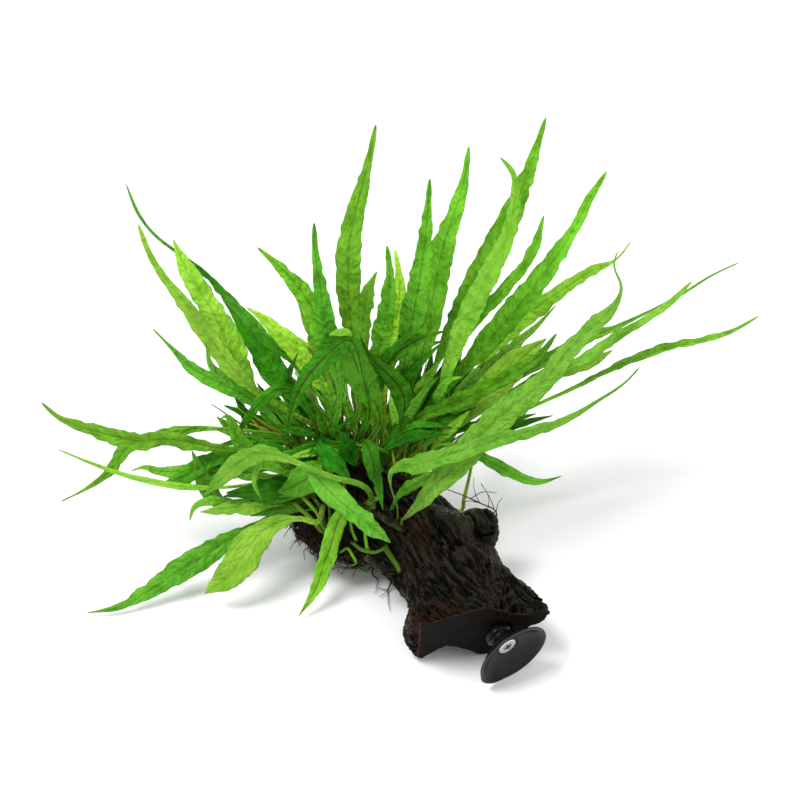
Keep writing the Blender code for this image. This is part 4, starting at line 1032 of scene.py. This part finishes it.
def root_piece():
    coarse, faces = welded("root_mat")
    tree = tree_of(["root_mat"])
    points, normals, fine = refined(coarse, faces, MAT_VOXEL, 6)
    outward = np.clip(normals @ ROOT_EDGE, 0, 1)
    depth = 1.2 * noise(points / 3.4, 21) + 0.6 * noise(points / 1.3, 22) - 1.5 - 2.4 * outward
    points = points + normals * depth[:, None]
    points[:, 2] = np.maximum(points[:, 2], 1.2)
    piece = make("root_felt", points, fine, {}, root_material(), "roots")
    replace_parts(piece, "root_mat")
    starts, ways = on_faces(coarse, faces, ROOTLETS)
    hairs = hair_material("rootlets", (0.003, 0.002, 0.001), (0.042, 0.024, 0.01))
    paths, radii = [], []
    for index, (start, way) in enumerate(zip(starts, ways)):
        thinned = -1.4 - 2.2 * max(way @ ROOT_EDGE, 0)
        start = start + way * thinned
        if index % 4 == 0:
            path = loose(start, way + RNG.normal(size=3) * 0.5, 8, RNG.uniform(0.5, 1.1))
        else:
            path = creeping(tree, start, 10, 1.5, 1.1, 0.4)
            path += way * thinned
        path[:, 2] = np.maximum(path[:, 2], 1)
        paths.append(path)
        radii.append(RNG.uniform(0.14, 0.36))
    strands("rootlets", paths, radii, hairs, "roots", 3)


def stalks():
    """Bare stalks of shorter and older fronds, fanning up from the rhizomes into the crown."""
    paths, radii = [], []
    share = np.linspace(0, 1, 9)[:, None]
    for _ in range(STALKS):
        foot, lean = fan()
        foot = foot + RNG.normal(size=2) * [8, 5]
        start = nearest(FEET, sight(*foot, RNG.uniform(-8, 12)))
        lean = radians(lean + RNG.normal() * 14)
        way = unit(sin(lean) * RIGHT + cos(lean) * UP + RNG.normal() * 0.25 * TOWARD)
        length = RNG.uniform(18, 46)
        bend = unit(RNG.normal(size=3)) * length * 0.1
        rise = [0, 0, 3] * np.sin(pi * share)
        paths.append(start + way * length * share + bend * share**2 + rise)
        radii.append(RNG.uniform(0.4, 0.75))
    skin = hair_material("stalks", (0.06, 0.036, 0.008), (0.36, 0.5, 0.03))
    strands("stalks", paths, radii, skin, "frond_green", 6)


root_piece()
stalks()

# The pale underside of a shred folded over the top of the arched frond
foot = seen(tree_of(["frond_44"]), 352, 336)
path = [foot, *by_pixels((347, 331, 338, 332, 329, 335), foot[1] - 1.2, foot[1] - 1.2)]
blade = drawn_blade(path, 4.4, petiole=0, turn=20, peak=0.5, rooted=False)
joined("arch_fold", [blade], "light", [140])

GROUND = tree_of(["driftwood", "root_mat", *RHIZOMES])
# Threads that the view shows one by one: radii at foot and tip, how far both stand off what lies
# behind them, and pixels from foot to tip. They are green stalks on the root mass, loose roots, and
# a thin stem behind the log's shoulder.
STEMS = table("""
1.3 0.8 0.5 3 323 531 313 520 300 508 287 501
1.1 0.8 0.5 5 325 528 318 514 308 502 296 492
1 0.7 0.5 5 327 527 323 512 316 500 306 490
0.9 0.6 0.5 4 330 526 330 512 328 502 322 492
0.9 0.6 0.5 4 336 527 340 514 342 504 340 494
1.6 1.2 0.6 3 386 547 391 556 397 565 400 571
1.1 0.9 0.6 3 352 542 361 549 372 552 385 548
0.8 0.6 0.6 3 340 552 347 548 353 556 358 567 365 571 371 567
1 0.8 0.6 4 369 549 366 540 365 531
0.9 0.7 0.6 3 356 540 352 530 350 518
""")
STRAYS = table("""
0.45 0.15 0 3 388 575 391 584 386 592 379 596
0.35 0.12 0 4 389 588 388 598 390 610
0.35 0.12 0 3 386 590 380 588 374 593
0.4 0.15 0 3 372 572 378 580 376 588
0.45 0.15 0 3 343 560 347 567 341 574
0.4 0.15 0 3 350 563 356 569 352 577
0.4 0.15 0 3 327 555 334 561 332 570
0.4 0.15 0 3 310 548 304 553 305 560
0.4 0.15 0 3 302 540 294 543 290 549
0.4 0.15 0 3 296 528 288 530 284 537
0.35 0.12 0 3 320 552 316 560 320 566
""")
STEM_LINE = [[1.15, 0.75, 0, 7, 461, 511, 464, 498, 467, 485, 471, 466]]
# Dead roots that spread from the knot: radii at foot and tip, and pixels
KNOT_STRAYS = table("""
0.4 0.25 497 516 496 512 480 503 462 495 446 489
0.26 0.15 480 503 468 501 462 503
0.26 0.15 470 499 483 492 497 493
0.26 0.12 495 512 490 498 484 488 481 483
0.24 0.12 480 503 477 498 474 488 474 477
0.26 0.12 496 513 498 504 503 497
0.22 0.12 488 508 489 500 486 491 481 484
""")
STEM_GIRTH = 0.8
LOWEST = 1  # how near a thread comes to the floor


def surface_under(across, down):
    """Where the log or root mass lies behind a pixel, or the nearest place to its line of sight."""
    spot = seen(GROUND, across, down)
    if spot is None:
        ray = ray_through(across, down)
        spot = sight(across, down, 0)
        for _ in range(4):
            spot = EYE + ray * ((nearest(GROUND, spot) - EYE) @ ray)
    return spot


def above_floor(spot):
    """The spot, moved toward the eye if it is nearer to the floor than it may be."""
    if spot[2] < LOWEST:
        ray = unit(spot - EYE)
        spot = EYE + ray * (LOWEST - EYE[2]) / ray[2]
    return spot


def threads(name, rows, places, material, slot, sides):
    """Tubes through places, as wide as the rows say at foot and tip."""
    paths, radii = [], []
    for row, spots in zip(rows, places):
        spots = np.array(spots)
        measured = lengths_of(spots)
        count = max(6, int(measured[-1] / 0.9))
        paths.append(curve_through(spots, measured, np.linspace(0, measured[-1], count)))
        radii.append(np.linspace(row[0], row[1], count) * STEM_GIRTH)
    strands(name, paths, radii, material, slot, sides)


def view_threads(name, rows, *look):
    """Threads that start on the surface behind their first pixel and stand off it."""
    places = []
    for _, _, low, high, *pixels in rows:
        pixels = np.reshape(pixels, (-1, 2))
        lifts = np.linspace(low, high, len(pixels))
        spots = [
            above_floor(surface_under(*pixel) + TOWARD * lift) for pixel, lift in zip(pixels, lifts)
        ]
        foot = nearest(GROUND, spots[0])
        places.append([foot, *spots] if norm(foot - spots[0]) > 0.2 else spots)
    threads(name, rows, places, *look)


skin = hair_material("thin_stem_skin", (0.2, 0.32, 0.03), (0.34, 0.5, 0.05))
view_threads("thin_stem", STEM_LINE, skin, "frond_green", 8)
skin = hair_material("stem_skin", (0.04, 0.085, 0.005), (0.17, 0.42, 0.016))
view_threads("green_stems", STEMS, skin, "frond_green", 8)
skin = hair_material("stray_root_skin", (0.012, 0.007, 0.003), (0.11, 0.07, 0.022))
view_threads("stray_roots", STRAYS, skin, "roots", 6)
# The dead roots on the knot are all as far back as its edge, so that they meet one another.
back = surface_under(*KNOT_STRAYS[0][2:4])[1]
places = [by_pixels(pixels, back, back) for _, _, *pixels in KNOT_STRAYS]
threads("knot_roots", KNOT_STRAYS, places, skin, "roots", 6)


# --- rhizomes, cup and screw

RHIZOME_VOXEL = 0.45
FLAT_ANGLE = radians(12)  # between triangles that are joined to one face
SHAPE_ANGLE = radians(60)
SHARP_ANGLE = radians(50)


def rounded_copy(name, new_name, material, slot, crease_angle):
    """A solid's surface with its facets rounded off and its sharp edges kept."""
    points, faces = welded(name)
    bm = bmesh.new()
    corners = [bm.verts.new(Vector(p * MM)) for p in points]
    for face in faces:
        bm.faces.new([corners[v] for v in face])
    bmesh.ops.recalc_face_normals(bm, faces=bm.faces)
    bmesh.ops.join_triangles(
        bm, faces=bm.faces, angle_face_threshold=FLAT_ANGLE, angle_shape_threshold=SHAPE_ANGLE
    )
    crease = bm.edges.layers.float.new("crease_edge")
    for edge in bm.edges:
        if edge.calc_face_angle(0.0) > crease_angle:
            edge[crease] = 0.9
    mesh = bpy.data.meshes.new("creased")
    bm.to_mesh(mesh)
    bm.free()
    points, _, faces = modified(mesh, {"SUBSURF": {"levels": 2, "render_levels": 2}})
    piece = make(new_name, points, faces, {}, material, slot)
    piece.data.set_sharp_from_angle(angle=SHARP_ANGLE)
    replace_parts(piece, name)


RHIZOME_SKIN = rhizome_material()
for number, name in enumerate(RHIZOMES, 1):
    points, normals, faces = refined(*welded(name), RHIZOME_VOXEL, 3)
    depth = 0.28 * noise(points / 1.7, 30 + number) + 0.12 * noise(points / 0.6, 40 + number)
    points += normals * depth[:, None]
    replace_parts(make(name + "_skin", points, faces, {}, RHIZOME_SKIN, "rhizome"), name)
rounded_copy("suction_cup", "suction_cup_rubber", rubber_material(), "rubber", radians(40))
rounded_copy("suction_screw", "suction_screw_steel", steel_material(), "steel", radians(25))


# --- stage, light and camera

AIM = Vector((0, 0, 0.06))  # what the lights face
WORLD_STRENGTH = 0.72
FLOOR_HEIGHT = -0.0003


def area_light(name, place, size, power):
    """A square soft light that faces the plant."""
    light = bpy.data.lights.new(name, "AREA")
    light.size = size
    light.energy = power
    made = placed(name, light)
    made.location = place
    made.rotation_euler = (AIM - Vector(place)).to_track_quat("-Z", "Y").to_euler()


grid_of_floor = bmesh.new()
bmesh.ops.create_grid(grid_of_floor, x_segments=8, y_segments=8, size=6.0)
floor_mesh = bpy.data.meshes.new("floor")
grid_of_floor.to_mesh(floor_mesh)
grid_of_floor.free()
floor_mesh.materials.append(floor_material())
floor = placed("floor", floor_mesh)
floor.location.z = FLOOR_HEIGHT

scene = bpy.context.scene
scene.world = bpy.data.worlds.new("studio")
scene.world.use_nodes = True
back = scene.world.node_tree.nodes["Background"]
back.inputs["Color"].default_value = (1, 1, 1, 1)
back.inputs["Strength"].default_value = WORLD_STRENGTH
area_light("key", (-0.55, -0.25, 1.2), 0.5, 14.0)
area_light("fill", (0.9, -0.6, 0.8), 0.8, 5.0)

lens = bpy.data.cameras.new("camera")
lens.sensor_width = SENSOR
lens.lens = SENSOR * VIEW_DISTANCE * VIEW_SCALE / IMAGE_SIDE
lens.clip_start = 0.05
lens.clip_end = 30.0
camera = placed("camera", lens)
camera.location = Vector(EYE * MM)
camera.rotation_euler = Vector(-TOWARD).to_track_quat("-Z", "Y").to_euler()
scene.camera = camera
scene.view_settings.view_transform = "Standard"

bpy.context.view_layer.update()
